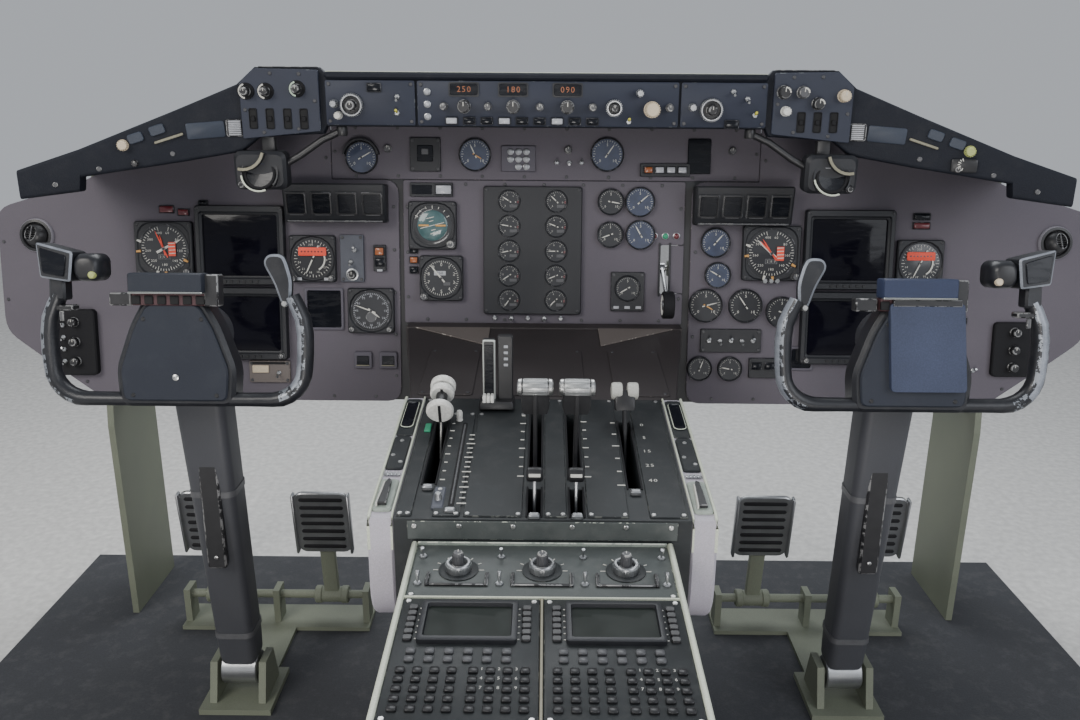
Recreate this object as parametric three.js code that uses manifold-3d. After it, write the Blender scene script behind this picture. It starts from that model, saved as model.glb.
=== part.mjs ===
// Flight deck of a narrow body airliner: instrument panels, glareshield, control columns, rudder
// pedals and centre pedestal, standing on a cut-out of the flight deck floor.
// Millimetres. X is across, +X to the right hand pilot, Y points forward and Z up.
// The origin is under the middle of the floor panel.
import * as THREE from 'three';
import { mergeVertices } from 'three/addons/utils/BufferGeometryUtils.js';
import Module from 'manifold-3d';

const wasm = await Module();
wasm.setup();

// Fits
const GAP = 0.3;
const CLEAR = 5;
const RAD = Math.PI / 180;

// Floor
const FLOOR = { width: 1970, length: 1300, thick: 20 };
const ON_FLOOR = FLOOR.thick + GAP;
const SIDES = [['left', -1], ['right', 1]];

// Instrument panel plane: u runs across, v up the leaning panel, w towards the crew
const PANEL = { y: 421, z: 476, lean: 8, thick: 4 };

// Glareshield hood, and the plates and lamps on it
const HOOD = { skin: 14, lip: 22, plate: 8 };
const GUIDANCE = { half: 350, bottom: 970, top: 1050, back: 3 };
const LIGHTING = { knob: 18 };
const MAP_LIGHT = { x: 460, half: 32, back: 352, front: 316, bottom: 874, top: 922, lens: 20, stem: 12 };

// Instruments: bezel depth over the plate, case inset behind it, depth of the recessed face, rear plug
const CASE = { proud: 10, inset: 5, face: 6, plug: 14 };

// Control wheels and columns
const COLUMN = { x: 512, hubY: 54, hubZ: 690, lean: 10, pivotY: 170, pivotZ: 75, pin: 10 };
const HEAD_BARREL = { radius: 44, deep: 76, behind: 20 };
const POST = { forward: 60, foot: 28 };
const WHEEL = { half: 177, top: 64, bottom: -84, grip: 12, corner: 46, rise: 8, shaft: 14 };
// Outlines on the wheel, x outboard and y up from the hub's centre
const HUB = [[-80, -93], [80, -93], [84, -40], [62, 22], [40, 60], [-40, 60], [-62, 22], [-84, -40]];
const HEAD = [[181, 134], [131, 121], [136, 80], [177, 86]];
const NECK = [[148, 52], [173, 52], [172, 88], [148, 84]];
const LEAF = [[161, 52], [163, 84], [156, 110], [150, 120], [130, 120], [123, 108], [138, 80], [148, 50]];
const BOARD = [[-42, 60], [60, 60], [70, -62], [-34, -62]];

// Rudder pedals
const PEDAL = { y: 395, z: 80, reach: 105, shaft: 8, padWide: 100, padTall: 130, padFrom: 110 };

// Pedestal
const PEDESTAL = { half: 146, aft: -648, top: 380, plinthTop: 150 };
const QUADRANT = { half: 172, front: 90, aft: -236, frontZ: 592, aftZ: 560, bottom: 380 };
const LOBE = { half: 203, radius: 60 };
const AFT = { front: -237, frontZ: 530, slope: 2.8, length: 410 };
const LEVER = { pivotY: -70, pivotZ: 402, shaft: 8, blade: 5, wide: 22, slot: 15 };
const FUEL = { y: -196, z: 500, shaft: 5, wide: 12, reach: 92, lean: 14, swing: -32 };
// The thrust and fuel levers stand either side of this line
const PAIR = { x: 15, apart: 25 };
// White spool on the speed brake lever: discs along its tilted axis
const SPOOL = { rise: 240, turn: 132, core: 8, thick: 11, discs: [[18.5, 36], [16.7, 0], [17.6, -15]] };

// Panel frames
const FRAME = { x: 800, thick: 12 };
const BEAM = { bottom: -4, top: 28, deep: 56, post: 24 };

const COLOURS = {
  floor: [0x4a4c50, 0.8, 0.1],
  structure: [0x6f7368, 0.6, 0.4],
  panel: [0x8d8490, 0.7, 0.1],
  hood: [0x23262e, 0.8, 0.0],
  bezel: [0x17181c, 0.5, 0.2],
  pedestal: [0x6d736c, 0.6, 0.2],
  lobe: [0x9a93a5, 0.6, 0.1],
  wheel: [0x1c1e22, 0.4, 0.3],
  metal: [0x9ba0a4, 0.35, 0.8],
  white: [0xe6e6dc, 0.4, 0.0],
};

const deck = new THREE.Group();

const materials = {};
for (const [name, [color, roughness, metalness]] of Object.entries(COLOURS)) {
  materials[name] = new THREE.MeshStandardMaterial({ color, roughness, metalness });
}

// Solids

function solid(geometry) {
  const bare = geometry.index ? geometry.toNonIndexed() : geometry.clone();
  bare.deleteAttribute('normal');
  bare.deleteAttribute('uv');
  const merged = mergeVertices(bare, 1e-4);
  return new wasm.Manifold(new wasm.Mesh({
    numProp: 3,
    vertProperties: new Float32Array(merged.attributes.position.array),
    triVerts: new Uint32Array(merged.index.array),
  }));
}

function add(group, name, material, shape) {
  const mesh = shape.getMesh();
  const geometry = new THREE.BufferGeometry();
  geometry.setAttribute('position', new THREE.BufferAttribute(mesh.vertProperties, 3));
  geometry.setIndex(new THREE.BufferAttribute(mesh.triVerts, 1));
  geometry.computeVertexNormals();
  const node = new THREE.Mesh(geometry, materials[material]);
  node.name = name;
  group.add(node);
  return node;
}

function joinAll(shapes) {
  return shapes.reduce((whole, shape) => whole.add(shape));
}

// A block between two corners
function block(x0, x1, y0, y1, z0, z1) {
  const geometry = new THREE.BoxGeometry(x1 - x0, y1 - y0, z1 - z0);
  geometry.translate((x0 + x1) / 2, (y0 + y1) / 2, (z0 + z1) / 2);
  return solid(geometry);
}

// A block centred on a place in its own plane
function centred(x, y, wide, tall, z0, z1) {
  return block(x - wide / 2, x + wide / 2, y - tall / 2, y + tall / 2, z0, z1);
}

// A round bar along one axis from a start point
function bar(axis, radius, length, x, y, z, sides = 20) {
  const geometry = new THREE.CylinderGeometry(radius, radius, length, sides);
  geometry.translate(0, length / 2, 0);
  if (axis === 'x') geometry.rotateZ(-Math.PI / 2);
  if (axis === 'z') geometry.rotateX(Math.PI / 2);
  geometry.translate(x, y, z);
  return solid(geometry);
}

function outline(points) {
  return new THREE.Shape(points.map(([a, b]) => new THREE.Vector2(a, b)));
}

// A slab of an outline in the X-Y plane, from z0 to z1
function slab(shape, z0, z1) {
  const geometry = new THREE.ExtrudeGeometry(shape, { depth: z1 - z0, bevelEnabled: false, curveSegments: 8 });
  geometry.translate(0, 0, z0);
  return solid(geometry);
}

// A profile in the Y-Z plane, drawn out across from x0 to x1
function across(shape, x0, x1) {
  const geometry = new THREE.ExtrudeGeometry(shape, { depth: x1 - x0, bevelEnabled: false, curveSegments: 8 });
  geometry.rotateY(Math.PI / 2);
  geometry.rotateX(Math.PI / 2);
  geometry.translate(x0, 0, 0);
  return solid(geometry);
}

// A solid through flat rings of points that all have the same count
function loft(sections) {
  const way = sections[0].every((point) => point[0] === sections[0][0][0]) ? 0 : 2;
  const rising = sections[sections.length - 1][0][way] > sections[0][0][way];
  const sorted = rising ? sections : [...sections].reverse();
  const turned = THREE.ShapeUtils.isClockWise(flatten(sorted[0], way));
  const rings = turned ? sorted.map((ring) => [...ring].reverse()) : sorted;
  const count = rings[0].length;
  const positions = rings.flat(2);
  const index = [];
  for (let ring = 0; ring + 1 < rings.length; ring += 1) {
    for (let i = 0; i < count; i += 1) {
      const a = ring * count + i;
      const b = ring * count + (i + 1) % count;
      index.push(a, b, b + count, a, b + count, a + count);
    }
  }
  const last = (rings.length - 1) * count;
  for (const [i, j, k] of THREE.ShapeUtils.triangulateShape(flatten(rings[0], way), [])) {
    index.push(k, j, i);
  }
  for (const [i, j, k] of THREE.ShapeUtils.triangulateShape(flatten(rings.at(-1), way), [])) {
    index.push(last + i, last + j, last + k);
  }
  const geometry = new THREE.BufferGeometry();
  geometry.setAttribute('position', new THREE.BufferAttribute(new Float32Array(positions), 3));
  geometry.setIndex(index);
  return solid(geometry);
}

// A ring's points as flat ones, without the direction in which the rings follow each other
function flatten(ring, way) {
  return ring.map(([x, y, z]) => (way === 0 ? new THREE.Vector2(y, z) : new THREE.Vector2(x, y)));
}

function rectangle(halfX, y0, y1, z, centreX = 0) {
  return [
    [centreX - halfX, y0, z], [centreX + halfX, y0, z], [centreX + halfX, y1, z], [centreX - halfX, y1, z],
  ];
}

// Places a ready solid by a turn about X and a shift
function placed(shape, degrees, x, y, z) {
  return shape.rotate([degrees, 0, 0]).translate([x, y, z]);
}

// Floor

add(deck, 'floor_panel', 'floor', block(
  -FLOOR.width / 2, FLOOR.width / 2, -FLOOR.length / 2, FLOOR.length / 2, 0, FLOOR.thick));

// Glareshield hood: stations across, each an L of lip and skin
// columns: x, face y, top z, lip bottom z, back y, back top z
const HOOD_STATIONS = [
  [0, 336, 1052, 967, 600, 1010],
  [352, 336, 1052, 967, 600, 1008],
  [358, 336, 1059, 955, 600, 1008],
  [462, 336, 1059, 950, 596, 1004],
  [493, 336, 1032, 926, 590, 1000],
  [584, 304, 992, 911, 580, 975],
  [728, 269, 933, 890, 568, 918],
  [731, 268, 932, 868, 568, 917],
  [815, 247, 903, 858, 562, 888],
];

function hoodRing([x, face, top, bottom, back, backTop], side) {
  const slope = (backTop - top) / (back - face);
  const inner = top - HOOD.skin + slope * HOOD.lip;
  return [
    [side * x, face, bottom], [side * x, face, top], [side * x, back, backTop],
    [side * x, back, backTop - HOOD.skin], [side * x, face + HOOD.lip, inner],
    [side * x, face + HOOD.lip, bottom],
  ];
}

function hoodUnderside(x, y) {
  const far = HOOD_STATIONS.findIndex((station) => station[0] >= x);
  const [b, a] = [HOOD_STATIONS[far], HOOD_STATIONS[Math.max(far - 1, 0)]];
  const part = b[0] === a[0] ? 0 : (x - a[0]) / (b[0] - a[0]);
  const [, face, top, , back, backTop] = a.map((value, column) => value + (b[column] - value) * part);
  return top + (backTop - top) * (y - face) / (back - face) - HOOD.skin;
}

const hoodRings = [
  ...HOOD_STATIONS.slice(1).reverse().map((station) => hoodRing(station, -1)),
  ...HOOD_STATIONS.map((station) => hoodRing(station, 1)),
];
add(deck, 'glareshield_hood', 'hood', loft(hoodRings));

// Panels on the glareshield's face
// columns: x, z, radius, length
const GUIDANCE_KNOBS = [
  [-308, 1001, 18, 22], [-236, 1003, 10, 20], [-170, 1003, 10, 18], [-100, 1003, 10, 18],
  [-30, 1003, 12, 20], [40, 1003, 10, 18], [108, 999, 12, 18], [128, 980, 10, 16],
  [168, 997, 13, 22], [262, 997, 18, 22], [332, 990, 9, 18], [148, 1020, 8, 14], [319, 1020, 8, 12],
];
const faceY = HOOD_STATIONS[0][1] - GAP;
// columns: x0, x1, thickness
const GUIDANCE_PLATES = [
  [-GUIDANCE.half, -208, HOOD.plate], [-204, 210, HOOD.plate + 2], [214, GUIDANCE.half, HOOD.plate],
];
const guidance = GUIDANCE_PLATES.map(([x0, x1, thick]) => (
  block(x0, x1, faceY - thick, faceY, GUIDANCE.bottom, GUIDANCE.top)));
guidance.push(block(
  -GUIDANCE.half, GUIDANCE.half, faceY - GUIDANCE.back, faceY, GUIDANCE.bottom - 2, GUIDANCE.top + 1));
for (const [x, z, radius, length] of GUIDANCE_KNOBS) {
  guidance.push(bar('y', radius, length, x, faceY - HOOD.plate - length, z, 12));
}
add(deck, 'flight_guidance_panel', 'bezel', joinAll(guidance));

// columns: x, z, radius
const LIGHTING_KNOBS = {
  left: [[-475, 1021, 13], [-444, 1021, 13], [-394, 1025, 13], [-470, 978, 9], [-430, 978, 9], [-392, 978, 9]],
  right: [[375, 1025, 12], [405, 1025, 12], [430, 1005, 13], [470, 1022, 12], [385, 985, 10], [425, 975, 9]],
};
// Outline in x and z
const LIGHTING_OUTLINE = [[360, 1054], [360, 960], [486, 947], [486, 1033], [461, 1056]];
for (const [name, side] of SIDES) {
  const shape = outline(LIGHTING_OUTLINE.map(([x, z]) => [side * x, z]));
  const plate = slab(shape, -faceY, HOOD.plate - faceY).rotate([90, 0, 0]);
  const knobs = LIGHTING_KNOBS[name].map(([x, z, radius]) => (
    bar('y', radius, LIGHTING.knob, x, faceY - HOOD.plate - LIGHTING.knob, z, 12)));
  add(deck, `lighting_panel_${name}`, 'bezel', joinAll([plate, ...knobs]));

  // Box, stem up to the hood's lip, and lens
  const { half, back, front, bottom, top, lens, stem } = MAP_LIGHT;
  const x = side * MAP_LIGHT.x;
  const stemX = x - side * 10;
  const lamp = joinAll([
    block(x - half, x + half, front, back, bottom, top),
    block(stemX - stem, stemX + stem, back - 13, back + 3, top - 2, 949.5),
    bar('y', lens, 8, x, front - 7, (bottom + top) / 2 + 2, 20),
  ]);
  add(deck, `map_light_${name}`, 'bezel', lamp);
}

// Leaning panel group

const panels = new THREE.Group();
panels.position.set(0, PANEL.y, PANEL.z);
panels.rotation.x = (90 - PANEL.lean) * RAD;
deck.add(panels);

const BACK = -PANEL.thick - GAP;

// Plate outlines, in u and v
const PILOT_OUTLINE = [
  [262, -6], [813, -6], [944, 88], [985, 120], [985, 340], [914, 362], [841, 376], [700, 424],
  [552, 464], [470, 484], [381, 490], [381, 396], [262, 396],
];
const CENTRE_OUTLINE = [[-254, 140], [250, 140], [250, 396], [-254, 396]];
const UPPER_OUTLINE = [[-380.4, 396.6], [380.4, 396.6], [380.4, 492], [-380.4, 492]];

// Instruments with a case behind the plate
// columns: name, u, v, bezel width, bezel height, dial radius or 0 for a display, case depth
const PILOT_INSTRUMENTS = [
  ['attitude_display', -546, 278, 160, 142, 0, 140],
  ['navigation_display', -546, 137, 160, 132, 0, 140],
  ['airspeed_indicator', -684, 271, 104, 98, 45, 130],
  ['radio_magnetic_indicator', -417, 255, 83, 84, 37, 130],
];
const PILOT_SHIFT = 1090;
const OTHER_INSTRUMENTS = [
  ['clock_left', -314, 162, 84, 82, 36, 110],
  ['clock_right', 676, 152, 84, 82, 36, 110],
  ['standby_horizon', -201, 316, 86, 85, 37, 120],
  ['standby_altimeter', -186, 222, 78, 81, 35, 120],
];
// Engine instruments: two columns of five small dials on one bezel
const ENGINE = { u: -22, v: 272, wide: 176, tall: 228, rows: 5, pitch: 44, radius: 19, apart: 84, deep: 120 };

// Small dials raised on the plates
// columns: plate, u, v, radius
const SMALL_DIALS = [
  ['centre', 169, 360, 26], ['centre', 171, 302, 26], ['centre', 117, 360, 23],
  ['centre', 117, 302, 23], ['upper', -326, 434, 28], ['upper', -125, 440, 28], ['upper', 109, 442, 29],
  ['right', 306, 289, 26], ['right', 312, 231, 23], ['right', 292, 176, 30], ['right', 364, 176, 30],
  ['right', 430, 165, 28], ['right', 285, 60, 22], ['right', 340, 60, 22],
];
// Small raised units
// columns: plate, u, v, width, height, proud
const SMALL_UNITS = [
  ['left', -347, 256, 42, 84, 5], ['left', -297, 257, 22, 40, 6], ['left', -400, 164, 70, 76, 3],
  ['left', -331, 71, 33, 30, 6], ['left', -285, 71, 31, 30, 6], ['left', -513, 50, 54, 32, 5],
  ['left', -662, 342, 42, 16, 5], ['left', -852, 100, 72, 120, 12], ['upper', -213, 440, 54, 58, 6],
  ['upper', 212, 416, 88, 22, 6], ['upper', 272, 440, 40, 60, 5], ['upper', -48, 434, 60, 40, 5],
  ['right', 673, 322, 40, 16, 5], ['right', 340, 112, 110, 42, 5], ['right', 400, 62, 50, 36, 6],
  ['centre', -203, 379, 76, 24, 4], ['centre', 150, 200, 60, 70, 5],
];

const GEAR = { u: 216, v: 240, w: -40, slotWide: 16, slotTall: 88, armDown: -58, armOut: 102, pin: 5, lug: 4 };

function ring(u, v, radius, proud) {
  const outer = bar('z', radius, proud + 1, u, v, -1, 16);
  return outer.subtract(bar('z', radius - 4, proud, u, v, 2, 16));
}

// A cased instrument: bezel on the plate and case through it
function instrument(u, v, wide, tall, dial, deep) {
  const bezel = centred(u, v, wide, tall, GAP, CASE.proud);
  const body = centred(u, v, wide - 2 * CASE.inset, tall - 2 * CASE.inset, -deep, GAP + 1);
  const face = dial
    ? bar('z', dial, 8, u, v, CASE.face, 20)
    : centred(u, v, wide - 28, tall - 32, CASE.face, CASE.proud + 2);
  const plug = bar('z', CASE.plug, 12, u, v, -deep - 12, 10);
  return bezel.add(body).subtract(face).add(plug);
}

function caseHole(u, v, wide, tall) {
  const less = 2 * (CASE.inset - GAP);
  return centred(u, v, wide - less, tall - less, -PANEL.thick - 1, 1);
}

function mirrored(points) {
  return points.map(([u, v]) => [-u, v]).reverse();
}

const plates = {
  left: slab(outline(mirrored(PILOT_OUTLINE)), -PANEL.thick, 0),
  right: slab(outline(PILOT_OUTLINE), -PANEL.thick, 0),
  centre: slab(outline(CENTRE_OUTLINE), -PANEL.thick, 0),
  upper: slab(outline(UPPER_OUTLINE), -PANEL.thick, 0),
};

const cased = [];
for (const [name, u, v, ...sizes] of PILOT_INSTRUMENTS) {
  cased.push([`${name}_left`, u, v, ...sizes], [`${name}_right`, u + PILOT_SHIFT, v, ...sizes]);
}
cased.push(...OTHER_INSTRUMENTS);
for (const [name, u, v, wide, tall, dial, deep] of cased) {
  add(panels, name, 'bezel', instrument(u, v, wide, tall, dial, deep));
  for (const plate of Object.keys(plates)) {
    plates[plate] = plates[plate].subtract(caseHole(u, v, wide, tall));
  }
}

let engine = instrument(ENGINE.u, ENGINE.v, ENGINE.wide, ENGINE.tall, 1, ENGINE.deep);
for (let row = 0; row < ENGINE.rows; row += 1) {
  const v = ENGINE.v + (row - (ENGINE.rows - 1) / 2) * ENGINE.pitch;
  for (const side of [-1, 1]) {
    engine = engine.subtract(bar('z', ENGINE.radius, 8, ENGINE.u + side * ENGINE.apart / 2, v, CASE.face, 14));
  }
}
add(panels, 'engine_instruments', 'bezel', engine);
plates.centre = plates.centre.subtract(caseHole(ENGINE.u, ENGINE.v, ENGINE.wide, ENGINE.tall));

for (const [plate, u, v, radius] of SMALL_DIALS) plates[plate] = plates[plate].add(ring(u, v, radius, 6));
for (const [plate, u, v, wide, tall, proud] of SMALL_UNITS) {
  plates[plate] = plates[plate].add(centred(u, v, wide, tall, -1, proud));
}

// Air outlets in the outboard lobes
const OUTLET = { u: 914, v: 293, ring: 30, ball: 22, deep: 60 };
for (const [name, side] of SIDES) {
  const u = side * OUTLET.u;
  plates[name] = plates[name].subtract(bar('z', 25.4, 10, u, OUTLET.v, -8, 24));
  const ball = new THREE.SphereGeometry(OUTLET.ball, 14, 8);
  ball.translate(u, OUTLET.v, 0);
  const outlet = joinAll([
    bar('z', OUTLET.ring, 8, u, OUTLET.v, GAP, 24),
    bar('z', 25, OUTLET.deep, u, OUTLET.v, 1 - OUTLET.deep, 24),
    solid(ball),
  ]);
  add(panels, `air_outlet_${name}`, 'bezel', outlet);
}

// Landing gear handle, its slot and its two lugs behind the centre plate
plates.centre = plates.centre.subtract(centred(GEAR.u, GEAR.v, GEAR.slotWide, GEAR.slotTall, -10, 12));
for (const side of [-1, 1]) {
  const near = GEAR.u + side * 10;
  const far = near + side * GEAR.lug;
  plates.centre = plates.centre.add(
    block(Math.min(near, far), Math.max(near, far), GEAR.v - 14, GEAR.v + 14, GEAR.w - 12, -1));
}
plates.centre = plates.centre.add(bar('x', GEAR.pin, 22, GEAR.u - 11, GEAR.v, GEAR.w, 20));

function gearHandle() {
  const arm = Math.hypot(GEAR.armDown, GEAR.armOut);
  const tilt = Math.atan2(GEAR.armDown, GEAR.armOut) / RAD;
  const stem = centred(0, 0, 5, 14, 0, arm);
  const boss = bar('x', 10, 10, -5, 0, 0, 20);
  const knob = bar('x', 24, 20, -10, 0, arm, 24);
  const hole = bar('x', GEAR.pin + GAP, 20, -10, 0, 0, 20);
  return placed(joinAll([stem, boss, knob]).subtract(hole), -tilt, GEAR.u, GEAR.v, GEAR.w);
}
add(panels, 'gear_handle', 'white', gearHandle());

// Annunciator hoods with four dark windows
// columns: side, u, half width
const ANNUNCIATORS = [['left', -370, 90], ['right', 349, 86]];
const WINDOW = { count: 4, wide: 32, bottom: 328, top: 368, margin: 24 };
for (const [name, u, half] of ANNUNCIATORS) {
  let hood = slabAcrossPanel([[GAP, 320], [26, 322], [44, 388], [GAP, 388]], u - half, u + half);
  for (let i = 0; i < WINDOW.count; i += 1) {
    const at = u - half + WINDOW.margin + 2 * i * (half - WINDOW.margin) / (WINDOW.count - 1);
    hood = hood.subtract(block(at - WINDOW.wide / 2, at + WINDOW.wide / 2, WINDOW.bottom, WINDOW.top, 20, 60));
  }
  add(panels, `annunciator_hood_${name}`, 'hood', hood);
}

// A profile given as w and v, drawn out along u
function slabAcrossPanel(points, u0, u1) {
  const shape = outline(points.map(([w, v]) => [v, w]));
  return across(shape, u0, u1);
}

add(panels, 'left_pilot_panel', 'panel', plates.left);
add(panels, 'right_pilot_panel', 'panel', plates.right);
add(panels, 'centre_panel', 'panel', plates.centre);
add(panels, 'upper_centre_panel', 'panel', plates.upper);

// Beam behind the panels' lower edge and the two posts that it carries
let beam = block(-FRAME.x + GAP, FRAME.x - GAP, BEAM.bottom, BEAM.top, BACK - BEAM.deep, BACK);
for (const u of [-258, 256]) {
  const lean = PANEL.lean * RAD;
  const backY = PANEL.y + 500 * Math.sin(lean) + 60;
  const top = (hoodUnderside(Math.abs(u) + BEAM.post / 2, backY) - PANEL.z) / Math.cos(lean) - 8;
  beam = beam.add(block(
    u - BEAM.post / 2, u + BEAM.post / 2, BEAM.top - 1, top, BACK - 30, BACK));
}
add(panels, 'panel_beam', 'structure', beam);

// Side frames from the floor to the hood, behind the plates
function panelPoint(v, w) {
  const lean = PANEL.lean * RAD;
  return [
    PANEL.y + v * Math.sin(lean) - w * Math.cos(lean), PANEL.z + v * Math.cos(lean) + w * Math.sin(lean),
  ];
}
for (const [name, side] of SIDES) {
  const far = FRAME.x + FRAME.thick;
  const topFront = [panelPoint(392, BACK)[0], panelPoint(380, BACK)[1]];
  const frame = outline([
    [panelPoint(-60, BACK)[0], ON_FLOOR], panelPoint(-60, BACK), topFront,
    [topFront[0], hoodUnderside(far, topFront[0]) - 2 * GAP],
    [545, hoodUnderside(far, 545) - 2 * GAP], [600, 480], [600, ON_FLOOR],
  ]);
  const x0 = side < 0 ? -far : FRAME.x;
  add(deck, `panel_frame_${name}`, 'structure', across(frame, x0, x0 + FRAME.thick));
}

// Control columns and wheels

// Bars of the wheel: centre-line from the hub's side along the bottom and up the horn
function hornPath(side) {
  const { half, top, bottom, corner, rise } = WHEEL;
  const path = new THREE.CurvePath();
  const start = new THREE.Vector3(side * 30, bottom, rise);
  const turn = new THREE.Vector3(side * (half - corner), bottom, rise);
  const end = new THREE.Vector3(side * half, bottom + corner, rise);
  path.add(new THREE.LineCurve3(start, turn));
  path.add(new THREE.QuadraticBezierCurve3(turn, new THREE.Vector3(side * half, bottom, rise), end));
  path.add(new THREE.CubicBezierCurve3(
    end, new THREE.Vector3(side * (half + 4), -6, rise), new THREE.Vector3(side * (half + 2), 34, rise),
    new THREE.Vector3(side * (half - 18), top, rise)));
  return path;
}

function horn(side) {
  const section = new THREE.Shape();
  section.absellipse(0, 0, WHEEL.grip, WHEEL.grip * 1.1, 0, Math.PI * 2);
  const geometry = new THREE.ExtrudeGeometry(section, {
    steps: 18, extrudePath: hornPath(side), bevelEnabled: false, curveSegments: 5,
  });
  return solid(geometry);
}

// A slab on the wheel whose outline is given outboard for way 1 and inboard for way -1
function wheelSlab(points, way, z0, z1) {
  return slab(outline(points.map(([x, y]) => [way * x, y])), z0, z1);
}

// Hub with both horns, head box and trim switch outboard, leaf inboard, and the chart clip
function wheelSolid(side) {
  const parts = [
    wheelSlab(HUB, side, -20, 26), horn(-1), horn(1),
    wheelSlab(HEAD, side, -12, 33), wheelSlab(NECK, side, -4, 20),
    bar('z', 20, 42, side * 116, 100, -10, 20),
    wheelSlab(LEAF, -side, 0, 16),
    block(-55, 49, 66, 94, 14, 40), block(-53, 47, 49, 67, 8, 31),
    block(-86, -52, 48, 66, 6, 26), block(46, 66, 48, 92, 6, 30),
  ];
  if (side > 0) parts.push(slab(outline(BOARD), 25, 35));
  return joinAll(parts).subtract(bar('z', WHEEL.shaft + GAP + 0.1, 30, 0, 0, -30, 32));
}

for (const [name, side] of SIDES) {
  const x = side * COLUMN.x;
  const wheelGroup = new THREE.Group();
  wheelGroup.position.set(x, COLUMN.hubY, COLUMN.hubZ);
  wheelGroup.rotation.x = (90 - COLUMN.lean) * RAD;
  deck.add(wheelGroup);
  add(wheelGroup, `control_wheel_${name}`, 'wheel', wheelSolid(side));

  const turn = 90 - COLUMN.lean;
  const barrelEnd = -HEAD_BARREL.behind - CLEAR - HEAD_BARREL.deep;
  const head = placed(joinAll([
    bar('z', HEAD_BARREL.radius, HEAD_BARREL.deep, 0, 0, barrelEnd, 24),
    bar('z', WHEEL.shaft, -barrelEnd - 1, 0, 0, barrelEnd, 32),
  ]), turn, x, COLUMN.hubY, COLUMN.hubZ);
  const headY = COLUMN.hubY + POST.forward;
  const post = loft([
    rectangle(30, COLUMN.pivotY - 24, COLUMN.pivotY + 24, COLUMN.pivotZ, x),
    rectangle(30, COLUMN.pivotY - 32, COLUMN.pivotY + 30, COLUMN.pivotZ + 60, x),
    rectangle(38, headY - 30, headY + 34, COLUMN.hubZ - 60, x),
    rectangle(34, headY - 26, headY + 30, COLUMN.hubZ, x),
  ]);
  const foot = bar('x', POST.foot, 60, x - 30, COLUMN.pivotY, COLUMN.pivotZ, 24);
  const bore = bar('x', COLUMN.pin + GAP + 0.1, 80, x - 40, COLUMN.pivotY, COLUMN.pivotZ, 24);
  add(deck, `control_column_${name}`, 'structure', joinAll([post, foot, head]).subtract(bore));

  const lugs = [-1, 1].map((hand) => across(outline([
    [COLUMN.pivotY - 45, ON_FLOOR], [COLUMN.pivotY - 22, COLUMN.pivotZ + 22],
    [COLUMN.pivotY + 22, COLUMN.pivotZ + 22], [COLUMN.pivotY + 45, ON_FLOOR],
  ]), x + hand * 41 - 6, x + hand * 41 + 6));

  // One floor fitting carries the column's pin and the pedals' shaft
  const fitting = [
    block(x - 60, x + 60, COLUMN.pivotY - 60, COLUMN.pivotY + 60, ON_FLOOR, ON_FLOOR + 10),
    ...lugs, bar('x', COLUMN.pin, 84, x - 42, COLUMN.pivotY, COLUMN.pivotZ, 24),
    block(x - 40, x + 40, COLUMN.pivotY + 50, PEDAL.y - 25, ON_FLOOR, ON_FLOOR + 8),
    block(x - 180, x + 180, PEDAL.y - 35, PEDAL.y + 45, ON_FLOOR, ON_FLOOR + 8),
    bar('x', PEDAL.shaft, 344, x - 172, PEDAL.y, PEDAL.z, 20),
  ];
  for (const offset of [-172, 0, 172]) {
    fitting.push(block(x + offset - 6, x + offset + 6, PEDAL.y - 18, PEDAL.y + 18, ON_FLOOR, PEDAL.z + 16));
  }
  add(deck, `control_floor_fitting_${name}`, 'structure', joinAll(fitting));
  for (const [hand, way] of SIDES) {
    const px = x + way * PEDAL.reach;
    const arm = joinAll([
      bar('x', 17, 64, -32, 0, 0, 20),
      block(-14, 14, -8, 8, 0, 150),
      block(-PEDAL.padWide / 2, PEDAL.padWide / 2, -16, -6, PEDAL.padFrom, PEDAL.padFrom + PEDAL.padTall),
      block(-24, 24, -10, 6, 100, 200),
    ]).subtract(bar('x', PEDAL.shaft + GAP + 0.1, 80, -40, 0, 0, 20));
    add(deck, `rudder_pedal_${name}_${hand}`, 'metal', placed(arm, 8, px, PEDAL.y, PEDAL.z));
  }
}

// Centre pedestal

const plinth = block(
  -PEDESTAL.half + 16, PEDESTAL.half - 16, PEDESTAL.aft + 20, 400, ON_FLOOR, PEDESTAL.plinthTop);
add(deck, 'pedestal_body', 'pedestal', plinth.add(across(outline([
  [PEDESTAL.aft, PEDESTAL.plinthTop],
  [PEDESTAL.aft, AFT.frontZ - AFT.length * Math.tan(AFT.slope * RAD) - 12],
  [AFT.front - GAP, AFT.frontZ - 12], [AFT.front - GAP, PEDESTAL.top - GAP],
  [400, PEDESTAL.top - GAP], [400, PEDESTAL.plinthTop],
]), -PEDESTAL.half, PEDESTAL.half)));

// Forward console from the quadrant to the centre panel's lower edge
add(deck, 'forward_console', 'panel', joinAll([
  loft([
    [[-192, 90.3, 420], [192, 90.3, 420], [192, 412, 420], [-192, 412, 420]],
    [[-196, 90.3, 592], [196, 90.3, 592], [246, 412, 616], [-246, 412, 616]],
  ]),
  block(-246, 246, 400, 432, 560, 618),
  block(-140, 140, 90.3, 400, PEDESTAL.top, 430),
]));

// Throttle quadrant with a pocket for each lever and the shaft that carries them
// columns: name, x, rest lean in degrees (forward is positive), swing in degrees, reach, handle
const LEVERS = [
  ['speed_brake_lever', -140, 20, -40, 236, 'spool'],
  ['thrust_lever_left', PAIR.x - PAIR.apart, -16, 42, 303, 'grip'],
  ['thrust_lever_right', PAIR.x + PAIR.apart, -16, 42, 303, 'grip'],
  ['flap_lever', 112, 20, -42, 245, 'knob'],
];

function quadrantTop(y) {
  const part = (y - QUADRANT.aft) / (QUADRANT.front - QUADRANT.aft);
  return QUADRANT.aftZ + (QUADRANT.frontZ - QUADRANT.aftZ) * part;
}

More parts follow.
